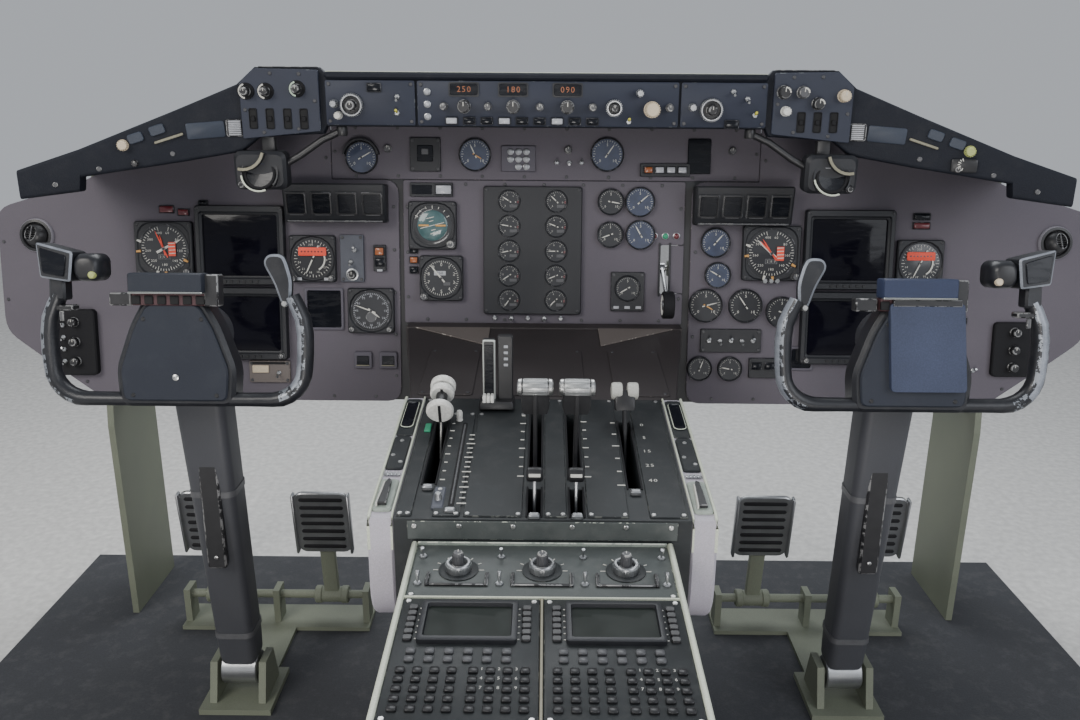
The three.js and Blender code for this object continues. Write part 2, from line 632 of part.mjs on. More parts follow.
let quadrant = across(outline([
  [QUADRANT.aft, QUADRANT.bottom], [QUADRANT.aft, QUADRANT.aftZ], [QUADRANT.front, QUADRANT.frontZ],
  [QUADRANT.front, QUADRANT.bottom],
]), -QUADRANT.half, QUADRANT.half);

function slotEnds(rest, swing, rise, wide) {
  const leans = [rest, rest + swing].map((lean) => lean * RAD);
  const ends = leans.map((lean) => rise * Math.tan(lean));
  const margin = wide / 2 / Math.cos(Math.max(...leans.map(Math.abs))) + CLEAR;
  return [Math.min(...ends) - margin, Math.max(...ends) + margin];
}

for (const [, x, rest, swing] of LEVERS) {
  const [low, high] = slotEnds(rest, swing, QUADRANT.frontZ - LEVER.pivotZ, LEVER.wide);
  quadrant = quadrant.subtract(block(
    x - LEVER.slot / 2, x + LEVER.slot / 2, LEVER.pivotY + low, LEVER.pivotY + high,
    LEVER.pivotZ - 18, QUADRANT.frontZ + 10));
}
for (const side of [-1, 1]) {
  const x = PAIR.x + side * PAIR.apart;
  const [low, high] = slotEnds(FUEL.lean, FUEL.swing, quadrantTop(FUEL.y) - FUEL.z + 2, FUEL.wide);
  quadrant = quadrant.subtract(block(
    x - LEVER.slot / 2, x + LEVER.slot / 2, FUEL.y + low, FUEL.y + high, FUEL.z - 16, QUADRANT.frontZ + 10));
}
quadrant = quadrant.add(bar(
  'x', LEVER.shaft, 2 * QUADRANT.half - 4, -QUADRANT.half + 2, LEVER.pivotY, LEVER.pivotZ));
quadrant = quadrant.add(bar('x', FUEL.shaft, 4 * PAIR.apart, PAIR.x - 2 * PAIR.apart, FUEL.y, FUEL.z, 16));
add(deck, 'throttle_quadrant', 'pedestal', quadrant);

function leverHandle(kind, reach) {
  if (kind === 'spool') {
    const [[, first], , [, last]] = SPOOL.discs;
    const parts = SPOOL.discs.map(([radius, at]) => (
      bar('z', radius, SPOOL.thick, 0, 0, at - SPOOL.thick / 2, 24)));
    parts.push(bar('z', SPOOL.core, first - last, 0, 0, last, 16));
    return placed(joinAll(parts), SPOOL.turn, 0, 0, SPOOL.rise);
  }
  if (kind === 'grip') return bar('x', 11, 43, -21.5, 0, reach, 20);
  return joinAll([block(-14, 14, -9, 9, reach - 26, reach), bar('x', 12, 40, -20, 0, reach, 20)]);
}

for (const [name, x, rest, , reach, kind] of LEVERS) {
  const lever = joinAll([
    bar('x', 13, LEVER.blade, -LEVER.blade / 2, 0, 0, 20),
    block(-LEVER.blade / 2, LEVER.blade / 2, -LEVER.wide / 2, LEVER.wide / 2, 0, reach),
    leverHandle(kind, reach),
  ]).subtract(bar('x', LEVER.shaft + GAP + 0.1, 40, -20, 0, 0, 24));
  add(deck, name, kind === 'spool' ? 'white' : 'metal', placed(
    lever, -rest, x, LEVER.pivotY, LEVER.pivotZ));
}
for (const [name, side] of SIDES) {
  const lever = joinAll([
    bar('x', 9, 4, -2, 0, 0, 16), block(-2, 2, -FUEL.wide / 2, FUEL.wide / 2, 0, FUEL.reach),
    bar('x', 9, 20, -10, 0, FUEL.reach, 16),
  ]).subtract(bar('x', FUEL.shaft + GAP + 0.1, 20, -10, 0, 0, 16));
  add(deck, `fuel_lever_${name}`, 'metal', placed(
    lever, -FUEL.lean, PAIR.x + side * PAIR.apart, FUEL.y, FUEL.z));

  // Side lobe with its rounded lower aft corner
  const shape = new THREE.Shape();
  shape.moveTo(QUADRANT.front, QUADRANT.frontZ + 4);
  shape.lineTo(QUADRANT.aft, QUADRANT.aftZ + 4);
  shape.lineTo(QUADRANT.aft, 470);
  shape.quadraticCurveTo(QUADRANT.aft, 420, QUADRANT.aft + LOBE.radius, 410);
  shape.lineTo(QUADRANT.front, 410);
  const near = side * (QUADRANT.half + GAP);
  const far = side * LOBE.half;
  add(deck, `quadrant_lobe_${name}`, 'lobe', across(shape, Math.min(near, far), Math.max(near, far)));
}

// Trim handle, upright at the front of the quadrant, with its knob and a plate of small lamps beside it
add(deck, 'trim_handles', 'metal', joinAll([
  block(-92, -42, 44, 84, quadrantTop(84) + GAP + 0.4, 603),
  block(-87, -69, 58, 72, 600, 691), block(-66, -44, 60, 72, 600, 697), block(-86, -72, 44, 58, 600, 613),
]));

// Units on the aft pedestal
const aft = new THREE.Group();
aft.position.set(0, AFT.front, AFT.frontZ);
aft.rotation.x = AFT.slope * RAD;
deck.add(aft);
// columns: name, x0, x1, distance aft from, to, height above the deck
const AFT_UNITS = [
  ['rotary_switch_panel', -144, 144, 4, 110, 0],
  ['control_display_unit_left', -144, -2, 113, 300, 2],
  ['control_display_unit_right', 2, 144, 113, 300, 2],
  ['radio_panel', -144, 144, 303, 405, 0],
];
// Raised parts of each unit. Knobs: x from the unit's middle, y, radius, height
const UNIT_KNOBS = {
  rotary_switch_panel: [[-92, -57, 16, 10], [0, -57, 16, 10], [92, -57, 16, 10]],
  radio_panel: [-121, -73, -24, 24, 73, 121].map((x) => [x, -378, 11, 14]),
};
// Blocks: half width, y from, to, height
const DISPLAY_BLOCKS = [[49, -190, -124, 5], [48, -218, -198, 3], [70, -285, -227, 3]];
for (const [name, x0, x1, from, to, rise] of AFT_UNITS) {
  const middle = (x0 + x1) / 2;
  const unit = [block(x0, x1, -to, -from, -11, rise)];
  for (const [x, y, radius, tall] of UNIT_KNOBS[name] ?? []) {
    unit.push(bar('z', radius, tall + 1, middle + x, y, rise - 1, 16));
  }
  if (name.startsWith('control_display')) {
    for (const [half, y0, y1, tall] of DISPLAY_BLOCKS) {
      unit.push(block(middle - half, middle + half, y0, y1, rise - 1, rise + tall));
    }
  }
  add(aft, name, 'bezel', joinAll(unit));
}

export default deck;
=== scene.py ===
import math

import bmesh
import bpy
from mathutils import Matrix, Vector


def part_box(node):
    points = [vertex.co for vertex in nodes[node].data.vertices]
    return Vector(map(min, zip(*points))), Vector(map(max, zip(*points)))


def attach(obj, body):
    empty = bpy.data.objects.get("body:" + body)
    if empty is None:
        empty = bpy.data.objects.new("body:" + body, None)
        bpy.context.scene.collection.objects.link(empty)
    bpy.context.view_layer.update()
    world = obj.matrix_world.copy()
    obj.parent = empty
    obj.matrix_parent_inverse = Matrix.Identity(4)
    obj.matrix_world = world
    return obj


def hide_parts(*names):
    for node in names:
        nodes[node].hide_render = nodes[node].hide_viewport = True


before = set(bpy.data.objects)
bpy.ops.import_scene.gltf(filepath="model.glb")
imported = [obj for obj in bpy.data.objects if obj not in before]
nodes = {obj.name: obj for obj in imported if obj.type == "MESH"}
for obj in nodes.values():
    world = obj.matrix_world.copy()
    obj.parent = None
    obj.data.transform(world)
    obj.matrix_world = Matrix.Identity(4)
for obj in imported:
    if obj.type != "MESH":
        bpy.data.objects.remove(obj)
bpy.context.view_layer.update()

# Sizes are in millimetres while a piece is made, and each finished piece is scaled to metres.
MM = 0.001
NO_TURN = Matrix.Identity(4)
# Edges between faces that meet at more than this many degrees are drawn sharp
SHARP = 38


def moved(x, y, z):
    return Matrix.Translation((x, y, z))


def turned(axis, degrees):
    return Matrix.Rotation(math.radians(degrees), 4, axis)


def leaning(x, y, z, degrees):
    """A place whose local x runs across and whose local y leans back from the floor by degrees."""
    return moved(x, y, z) @ turned("X", degrees)


def shift(x, y, z=0.0, turn=0.0):
    """A shift inside a place, with a turn about local z in degrees."""
    return moved(x, y, z) @ turned("Z", turn)


def clockwise(radius, degrees):
    """The point at a radius, at an angle from the top of a dial."""
    return radius * math.sin(math.radians(degrees)), radius * math.cos(math.radians(degrees))


def round_flat(half_wide, half_deep, sides=14):
    """Points round an ellipse, turning left from local x."""
    return [(half_wide * math.cos(2 * math.pi * k / sides), half_deep * math.sin(2 * math.pi * k / sides))
            for k in range(sides)]


def bar_flat(half, low, high):
    """The four corners of a bar's section."""
    return [(-half, low), (half, low), (half, high), (-half, high)]


def both_ways(*half, middle=0.0):
    """A turned profile that is the same on both sides of its middle. half: radius, distance, inwards."""
    near = [(radius, middle - far) for radius, far in half]
    return near + [(radius, middle + far) for radius, far in half[::-1]]


# Turns local z to run across, and local x and y to run along y and z
ACROSS = turned("Y", 90)
SIDEWAYS = Matrix(((0, 0, 1, 0), (1, 0, 0, 0), (0, 1, 0, 0), (0, 0, 0, 1)))

# Places that the construction gives: panel plane, glareshield face, wheels, pedestal tops
PANEL_PLACE = leaning(0, 421, 476, 82)
FACE_PLACE = leaning(0, 336, 0, 90)
WHEEL_Y, WHEEL_Z, WHEEL_LEAN = 54, 690, 80
AFT_PLACE = leaning(0, -237, 530, 2.8)
QUAD_FRONT, QUAD_AFT, QUAD_FRONT_Z, QUAD_AFT_Z = 90, -236, 592, 560
QUAD_HALF = 172
QUAD_SLOPE = math.degrees(math.atan2(QUAD_FRONT_Z - QUAD_AFT_Z, QUAD_FRONT - QUAD_AFT))
# From an instrument on the left pilot's panel to the same one on the right
PILOT_SHIFT = 1090
SIDES = (("left", -1), ("right", 1))


# Finishes

class Graph:
    """A short way to write a node tree: each call adds a node, sets its inputs and links sockets."""

    def __init__(self, tree):
        self.tree = tree

    def give(self, socket, value):
        """Links a socket to another one, or sets its number, colour or part."""
        if isinstance(value, bpy.types.NodeSocket):
            self.tree.links.new(value, socket)
        else:
            socket.default_value = value

    def add(self, kind, inputs=None, **settings):
        node = self.tree.nodes.new(kind)
        for key, value in settings.items():
            setattr(node, key, value)
        for key, value in (inputs or {}).items():
            self.give(node.inputs[key], value)
        return node

    def maths(self, operation, *values):
        return self.add("ShaderNodeMath", dict(enumerate(values)), operation=operation).outputs[0]


class Surface(Graph):
    """A material in the making, with its shader and its object coordinates at hand."""

    def __init__(self, name):
        self.material = bpy.data.materials.new(name)
        self.material.use_nodes = True
        super().__init__(self.material.node_tree)
        self.place = self.add("ShaderNodeTexCoord").outputs["Object"]

    def noise(self, scale, detail, roughness=0.5, place=None):
        return self.add("ShaderNodeTexNoise", {
            "Vector": place or self.place, "Scale": scale, "Detail": detail, "Roughness": roughness,
        }).outputs["Fac"]

    def mix(self, factor, first, second):
        return self.add("ShaderNodeMix", {"Factor": factor, "A": first, "B": second},
                        data_type="RGBA").outputs["Result"]

    def ranged(self, value, low, high, start=0.0, end=1.0):
        """Maps a value between start and end to low and high."""
        return self.add("ShaderNodeMapRange", {
            "Value": value, "From Min": start, "From Max": end, "To Min": low,
            "To Max": high}).outputs["Result"]

    def close(self, **inputs):
        """Gives the shader its inputs: base_color stands for Base Color."""
        shader = self.tree.nodes["Principled BSDF"]
        for key, value in inputs.items():
            self.give(shader.inputs[key.replace("_", " ").title().replace("Ior", "IOR")], value)
        return self.material


def rgba(colour, factor=1.0):
    return tuple(min(1.0, channel * factor) for channel in colour) + (1.0,)


BARE = (0.55, 0.54, 0.52)
PALE_WORN = (0.52, 0.55, 0.47)
DUST = (0.42, 0.40, 0.38)


def finish(name, colour, rough, patch=(9, 0.25), grain=(700, 0.15), worn=None, metal=0.0, coat=0.0,
           dust=0.0, shine=0.5):
    """A painted, moulded or bare surface. patch: scale and contrast of the broad patches. grain: scale and
    depth of the fine grain. worn: colour of the rubbed edges, how little is rubbed, and its metal."""
    surface = Surface(name)
    broad = surface.noise(patch[0], 5.0, 0.6)
    fine = surface.noise(grain[0], 2.0)
    tone = surface.mix(broad, rgba(colour, 1 - patch[1]), rgba(colour, 1 + patch[1]))
    speck = surface.ranged(fine, 0.88, 1.12, 0.35, 0.75)
    tone = surface.add("ShaderNodeVectorMath", {0: tone, "Scale": speck}, operation="SCALE").outputs[0]
    if dust:
        tone = surface.mix(surface.ranged(surface.noise(34.0, 6.0, 0.7), 0.0, dust, 0.5, 0.78), tone,
                           rgba(DUST))
    if worn:
        edge = surface.add("ShaderNodeAttribute", attribute_name="edge").outputs["Fac"]
        chips = surface.maths("GREATER_THAN", surface.noise(90.0, 4.0, 0.75), worn[1])
        mask = surface.maths("MULTIPLY", edge, chips)
        tone = surface.mix(mask, tone, rgba(worn[0]))
        metal = surface.maths("MULTIPLY", mask, worn[2])
    bump = surface.add("ShaderNodeBump", {"Height": fine, "Strength": grain[1], "Distance": 0.0006})
    return surface.close(
        base_color=tone, roughness=surface.ranged(broad, max(0.03, rough - 0.1), min(1.0, rough + 0.12)),
        normal=bump.outputs["Normal"], metallic=metal, specular_ior_level=shine, coat_weight=coat,
        coat_roughness=0.06)


def glassy(name, colour, tint, rough=0.07, shine=0.25):
    """Dark glass over a dark face, with wiping smears in its gloss and a faint coloured bloom."""
    surface = Surface(name)
    stretched = surface.add("ShaderNodeMapping", {"Vector": surface.place, "Scale": (1.0, 1.0, 5.0)})
    smears = surface.noise(30.0, 4.0, place=stretched.outputs["Vector"])
    return surface.close(
        base_color=surface.mix(surface.noise(14.0, 3.0), rgba(colour), rgba(tint)),
        roughness=surface.ranged(smears, rough, rough + 0.22, 0.45, 0.8),
        specular_ior_level=shine, coat_weight=shine * 0.6, coat_roughness=0.03)


FINISH = {
    "floor": finish("floor_covering", (0.040, 0.042, 0.048), 0.8, (5, 0.16), (420, 0.5), dust=0.08),
    "structure": finish("structure_primer", (0.16, 0.175, 0.13), 0.55, worn=(BARE, 0.62, 0.8)),
    "panel": finish("panel_crackle_paint", (0.112, 0.100, 0.120), 0.62, (7, 0.16), (1500, 0.35),
                    worn=((0.27, 0.24, 0.24), 0.6, 0.2), shine=0.35),
    "panel_dark": finish("panel_shadow_paint", (0.095, 0.088, 0.11), 0.6, (9, 0.16), (1500, 0.3)),
    # Beige: a plate's own paint, also the pools of light painted on the console's slope
    "console": finish("console_beige_paint", (0.15, 0.128, 0.118), 0.66, (6, 0.18), (1300, 0.3),
                      worn=((0.45, 0.42, 0.38), 0.6, 0.2)),
    "hood": finish("glareshield_vinyl", (0.012, 0.014, 0.021), 0.62, (10, 0.2), (520, 0.7), dust=0.02,
                   shine=0.22),
    "guidance": finish("glareshield_panel_paint", (0.024, 0.029, 0.048), 0.52, (12, 0.25), (1600, 0.25),
                       worn=((0.15, 0.16, 0.17), 0.62, 0.3), shine=0.4),
    "black": finish("bezel_black_paint", (0.016, 0.017, 0.021), 0.45, (16, 0.3), (1700, 0.25),
                    worn=((0.13, 0.13, 0.14), 0.58, 0.5)),
    "case": finish("instrument_case_paint", (0.022, 0.022, 0.024), 0.5, (12, 0.3), (900, 0.2),
                   worn=(BARE, 0.66, 0.8)),
    "dial": finish("dial_face_black", (0.010, 0.011, 0.015), 0.5, (20, 0.2), (2000, 0.05), coat=0.8),
    "blue_dial": finish("dial_face_blue_bloom", (0.030, 0.042, 0.085), 0.4, (60, 0.6), (2000, 0.05),
                        coat=0.9),
    "teal_dial": finish("horizon_face_teal", (0.045, 0.11, 0.115), 0.4, (70, 0.6), (2000, 0.05), coat=0.9),
    "screen": glassy("display_glass", (0.0025, 0.0022, 0.004), (0.006, 0.006, 0.012), shine=0.14),
    "window": glassy("annunciator_window", (0.003, 0.004, 0.006), (0.007, 0.008, 0.013), 0.2),
    # White for print on dials and plates, also used for painted glints
    "mark": finish("dial_mark_white", (0.62, 0.61, 0.56), 0.6, (40, 0.1), (900, 0.05)),
    "mark_amber": finish("dial_bug_amber", (0.62, 0.33, 0.10), 0.6, grain=(900, 0.05)),
    "flag": finish("warning_flag_red", (0.83, 0.085, 0.045), 0.5, (60, 0.12), (900, 0.1)),
    "lamp_red": finish("lamp_cap_dark_red", (0.13, 0.016, 0.022), 0.3, (80, 0.4), (900, 0.1), coat=0.4),
    "lamp_amber": finish("lamp_cap_amber", (0.34, 0.10, 0.030), 0.35, (80, 0.3), (900, 0.1), coat=0.4),
    "lamp_white": finish("lamp_cap_white", (0.42, 0.43, 0.46), 0.4, (80, 0.3), (900, 0.1), coat=0.4),
    "knob": finish("knob_black_moulding", (0.020, 0.020, 0.022), 0.38, (60, 0.3), (900, 0.15),
                   worn=((0.26, 0.26, 0.26), 0.5, 0.2)),
    "knob_grey": finish("knob_grey_moulding", (0.085, 0.086, 0.092), 0.42, (60, 0.3), (900, 0.15),
                        worn=((0.34, 0.34, 0.33), 0.52, 0.2)),
    "knob_cream": finish("knob_cream_cap", (0.62, 0.52, 0.38), 0.42, (60, 0.15), (700, 0.15)),
    "white": finish("white_moulded_knob", (0.74, 0.735, 0.70), 0.32, (30, 0.12), (300, 0.08), dust=0.25),
    "green": finish("green_band", (0.035, 0.30, 0.16), 0.4, (60, 0.2)),
    "yellow": finish("yellow_toggle_tip", (0.55, 0.50, 0.06), 0.4, (60, 0.2)),
    "metal": finish("satin_bare_metal", (0.42, 0.43, 0.44), 0.32, (30, 0.2), (1200, 0.12), metal=0.9),
    "steel": finish("bright_screw_steel", (0.55, 0.55, 0.54), 0.3, (60, 0.3), (900, 0.2), metal=0.95),
    "screw": finish("dull_screw_metal", (0.075, 0.075, 0.08), 0.42, (60, 0.4), (900, 0.2), metal=0.5),
    "wheel": finish("wheel_grip_black", (0.014, 0.015, 0.019), 0.36, (22, 0.3), (650, 0.25),
                    worn=((0.26, 0.28, 0.31), 0.50, 0.4), dust=0.05),
    # Silver on the grips' fronts: rubbed finish, and a painted highlight
    "wheel_worn_and_highlight": finish("wheel_rub_silver", (0.27, 0.29, 0.33), 0.38, (45, 0.6), (500, 0.4), metal=0.35),
    "clip": finish("chart_clip_blue_grey", (0.028, 0.038, 0.080), 0.5, (18, 0.2), (900, 0.2),
                   worn=((0.14, 0.17, 0.23), 0.5, 0.3), shine=0.35),
    "card": finish("blank_card_blue_grey", (0.046, 0.057, 0.098), 0.6, (8, 0.4), (500, 0.1), shine=0.3),
    "column": finish("column_grey_paint", (0.052, 0.054, 0.062), 0.5, (6, 0.25), (1000, 0.2),
                     worn=(BARE, 0.6, 0.8)),
    "pedestal": finish("pedestal_grey_green_paint", (0.068, 0.078, 0.076), 0.5, (14, 0.22), (1300, 0.3),
                       worn=(PALE_WORN, 0.58, 0.2), dust=0.1),
    "pedestal_dark": finish("pedestal_black_plate", (0.018, 0.021, 0.023), 0.45, (16, 0.35), (1300, 0.3),
                            worn=((0.12, 0.125, 0.115), 0.56, 0.3), dust=0.05, shine=0.35),
    "pedestal_light": finish("pedestal_worn_light_plate", (0.30, 0.34, 0.30), 0.45, (45, 0.45), (500, 0.3),
                             worn=((0.62, 0.64, 0.56), 0.45, 0.2)),
    "lobe": finish("lobe_lavender_paint", (0.44, 0.415, 0.465), 0.5, (7, 0.12), (900, 0.15)),
    # Pale trims: real edge strips, also used for painted highlights on edges and lips
    "trim": finish("edge_trim_pale_green", (0.60, 0.635, 0.52), 0.42, (24, 0.16), (700, 0.15), dust=0.15),
    "trim_dull": finish("edge_trim_dull_ochre", (0.24, 0.225, 0.16), 0.5, (24, 0.25), (700, 0.2), dust=0.2),
    "green_pale": finish("pale_green_glint", (0.50, 0.62, 0.50), 0.4, (40, 0.1)),
    "knob_pale": finish("pale_grey_pad", (0.50, 0.50, 0.46), 0.45, (30, 0.15), dust=0.2),
    "knob_silver": finish("silver_ribbed_grip", (0.40, 0.41, 0.41), 0.38, (30, 0.2), metal=0.6),
    "metal_worn": finish("dark_metal_worn_bright", (0.10, 0.105, 0.11), 0.35, (30, 0.3),
                         worn=((0.80, 0.83, 0.78), 0.25, 0.6), metal=0.5),
    "plate_blue": finish("wing_plate_blue_grey", (0.030, 0.040, 0.062), 0.5, (20, 0.2), (900, 0.15)),
    "plate_grey": finish("switch_plate_grey", (0.078, 0.084, 0.105), 0.5, (30, 0.25), (900, 0.15)),
    "knob_lime": finish("yellow_green_knob", (0.42, 0.46, 0.16), 0.4, (30, 0.15)),
    "cover": finish("hub_cover_blue_black", (0.022, 0.026, 0.037), 0.46, (9, 0.14), (1100, 0.2),
                    worn=((0.12, 0.14, 0.18), 0.6, 0.2), dust=0.02, shine=0.28),
    "shelf_red": finish("clip_shelf_dull_red", (0.060, 0.022, 0.026), 0.5, (60, 0.3)),
    # Dark brown of the forward console: painted shade
    "console_dark": finish("console_dark_brown_paint", (0.036, 0.030, 0.031), 0.6, (6, 0.2), (1300, 0.3),
                           worn=((0.11, 0.10, 0.09), 0.6, 0.2)),
    # A darker copy of the lobe's lavender: painted shade on the pedestal's sides, and the outlet rings' own
    # pale colour
    "lobe_shade": finish("pedestal_side_paint", (0.30, 0.285, 0.32), 0.55, (5, 0.15), (900, 0.2),
                         dust=0.15),
    "cdu_glass": glassy("unit_screen_grey_green", (0.014, 0.018, 0.016), (0.022, 0.027, 0.024), 0.35, 0.06),
    "slot_dark": finish("slot_shadow_black", (0.006, 0.006, 0.007), 0.8, (30, 0.2)),
    "rubber": finish("rubber_black", (0.013, 0.013, 0.015), 0.75, (30, 0.3), (500, 0.5), shine=0.25),
}


# Growth trees: what repeats is grown by geometry nodes and turned into plain mesh

class Growth(Graph):
    """A geometry node tree with named inputs. inputs: name, socket kind, and a value where it has one."""

    def __init__(self, name, *inputs):
        super().__init__(bpy.data.node_groups.new(name, "GeometryNodeTree"))
        sockets = self.tree.interface
        sockets.new_socket("Geometry", in_out="INPUT", socket_type="NodeSocketGeometry")
        sockets.new_socket("Geometry", in_out="OUTPUT", socket_type="NodeSocketGeometry")
        for label, kind, *value in (*inputs, ("Material", "Material")):
            socket = sockets.new_socket(label, in_out="INPUT", socket_type=f"NodeSocket{kind}")
            if value:
                socket.default_value = value[0]
        self.given = self.add("NodeGroupInput").outputs

    def vector(self, **parts):
        return self.add("ShaderNodeCombineXYZ", parts).outputs[0]

    def part(self):
        return self.add("GeometryNodeObjectInfo", {"Object": self.given["Part"]}).outputs["Geometry"]

    def close(self, points, part, **settings):
        """Sets the part on each point, makes the copies real, sets the material, gives it out."""
        copies = self.add("GeometryNodeInstanceOnPoints", {"Points": points, "Instance": part, **settings})
        real = self.add("GeometryNodeRealizeInstances", {"Geometry": copies.outputs[0]})
        coated = self.add("GeometryNodeSetMaterial", {
            "Geometry": real.outputs["Geometry"], "Material": self.given["Material"]})
        self.add("NodeGroupOutput", {"Geometry": coated.outputs["Geometry"]})
        return self.tree


def arc_tree():
    """Bars set round an arc, each pointing at the centre, with a longer one every few steps."""
    tree = Growth("bars_round_an_arc", ("Count", "Int", 12), ("Radius", "Float", 20.0),
                  ("Start", "Float", 0.0), ("Step", "Float", 0.5), ("Length", "Float", 3.0),
                  ("Width", "Float", 0.8), ("Height", "Float", 0.4), ("Every", "Int", 1),
                  ("Longer", "Float", 1.0))
    given = tree.given
    index = tree.add("GeometryNodeInputIndex").outputs[0]
    angle = tree.maths("MULTIPLY_ADD", index, given["Step"], given["Start"])
    major = tree.maths("LESS_THAN", tree.maths("MODULO", index, given["Every"]), 0.5)
    extra = tree.maths("SUBTRACT", given["Longer"], 1.0)
    length = tree.maths("MULTIPLY", given["Length"],
                        tree.maths("ADD", tree.maths("MULTIPLY", major, extra), 1.0))
    reach = tree.maths("SUBTRACT", given["Radius"], tree.maths("MULTIPLY", length, 0.5))
    spot = tree.vector(X=tree.maths("MULTIPLY", tree.maths("SINE", angle), reach),
                       Y=tree.maths("MULTIPLY", tree.maths("COSINE", angle), reach))
    points = tree.add("GeometryNodePoints", {"Count": given["Count"], "Position": spot})
    bar = tree.add("GeometryNodeMeshCube", {"Size": (1.0, 1.0, 1.0)})
    return tree.close(points.outputs[0], bar.outputs["Mesh"],
                      Rotation=tree.vector(Z=tree.maths("MULTIPLY", angle, -1.0)),
                      Scale=tree.vector(X=given["Width"], Y=length, Z=given["Height"]))


def grid_tree():
    """Copies of one small part on a grid, such as keys, slats or a field of lamps."""
    tree = Growth("parts_on_a_grid", ("Columns", "Int", 3), ("Rows", "Int", 4), ("Wide", "Float", 30.0),
                  ("Tall", "Float", 40.0), ("Part", "Object"))
    grid = tree.add("GeometryNodeMeshGrid", {
        "Size X": tree.given["Wide"], "Size Y": tree.given["Tall"],
        "Vertices X": tree.given["Columns"], "Vertices Y": tree.given["Rows"]})
    return tree.close(grid.outputs["Mesh"], tree.part())


def scatter_tree():
    """Copies of one small part on given points, each turned by a fixed random angle about its own z."""
    tree = Growth("parts_on_points", ("Part", "Object"), ("Turn", "Float", 3.14), ("Seed", "Int", 7))
    turn = tree.add("FunctionNodeRandomValue", {3: tree.given["Turn"], "Seed": tree.given["Seed"]},
                    data_type="FLOAT")
    return tree.close(tree.given["Geometry"], tree.part(), Rotation=tree.vector(Z=turn.outputs[1]))


ARC_TREE, GRID_TREE, SCATTER_TREE = arc_tree(), grid_tree(), scatter_tree()


def shown(name, data):
    """An object with this data, in the scene."""
    made = bpy.data.objects.new(name, data)
    bpy.context.scene.collection.objects.link(made)
    return made


def evaluated(holder):
    """The plain mesh that an object gives after its modifiers. The object goes."""
    mesh = bpy.data.meshes.new_from_object(holder.evaluated_get(bpy.context.evaluated_depsgraph_get()))
    holder.modifiers.clear()
    bpy.data.objects.remove(holder)
    return mesh


def grown(tree, values, points):
    """The mesh that a tree grows with these named values, on a carrier of loose points."""
    carrier = bpy.data.meshes.new("carrier")
    carrier.from_pydata([tuple(p) for p in points] or [(0, 0, 0)], [], [])
    holder = shown("carrier", carrier)
    modifier = holder.modifiers.new("grow", "NODES")
    modifier.node_group = tree
    for item in tree.interface.items_tree:
        if item.item_type == "SOCKET" and item.in_out == "INPUT" and item.name in values:
            modifier[item.identifier] = values[item.name]
    holder.update_tag()
    mesh = evaluated(holder)
    bpy.data.meshes.remove(carrier)
    return mesh


# Piece maker

GLYPHS = {}


def glyph(letter):
    """A digit's flat mesh, made once."""
    if letter not in GLYPHS:
        curve = bpy.data.curves.new("digit", "FONT")
        curve.body, curve.size, curve.align_x, curve.align_y = letter, 1.0, "CENTER", "CENTER"
        curve.resolution_u = 2
        GLYPHS[letter] = evaluated(shown("digit", curve))
    return GLYPHS[letter]


def rounded_loop(wide, tall, radius, z, sides=4):
    """Points round a rectangle with round corners, turning left from the lower right corner."""
    radius = max(min(radius, wide / 2 - 0.01, tall / 2 - 0.01), 0.01)
    points = []
    for corner, (sx, sy) in enumerate(((1, -1), (1, 1), (-1, 1), (-1, -1))):
        cx, cy = sx * (wide / 2 - radius), sy * (tall / 2 - radius)
        for i in range(sides):
            angle = math.radians(-90 + 90 * corner + 90 * i / (sides - 1))
            points.append((cx + radius * math.cos(angle), cy + radius * math.sin(angle), z))
    return points


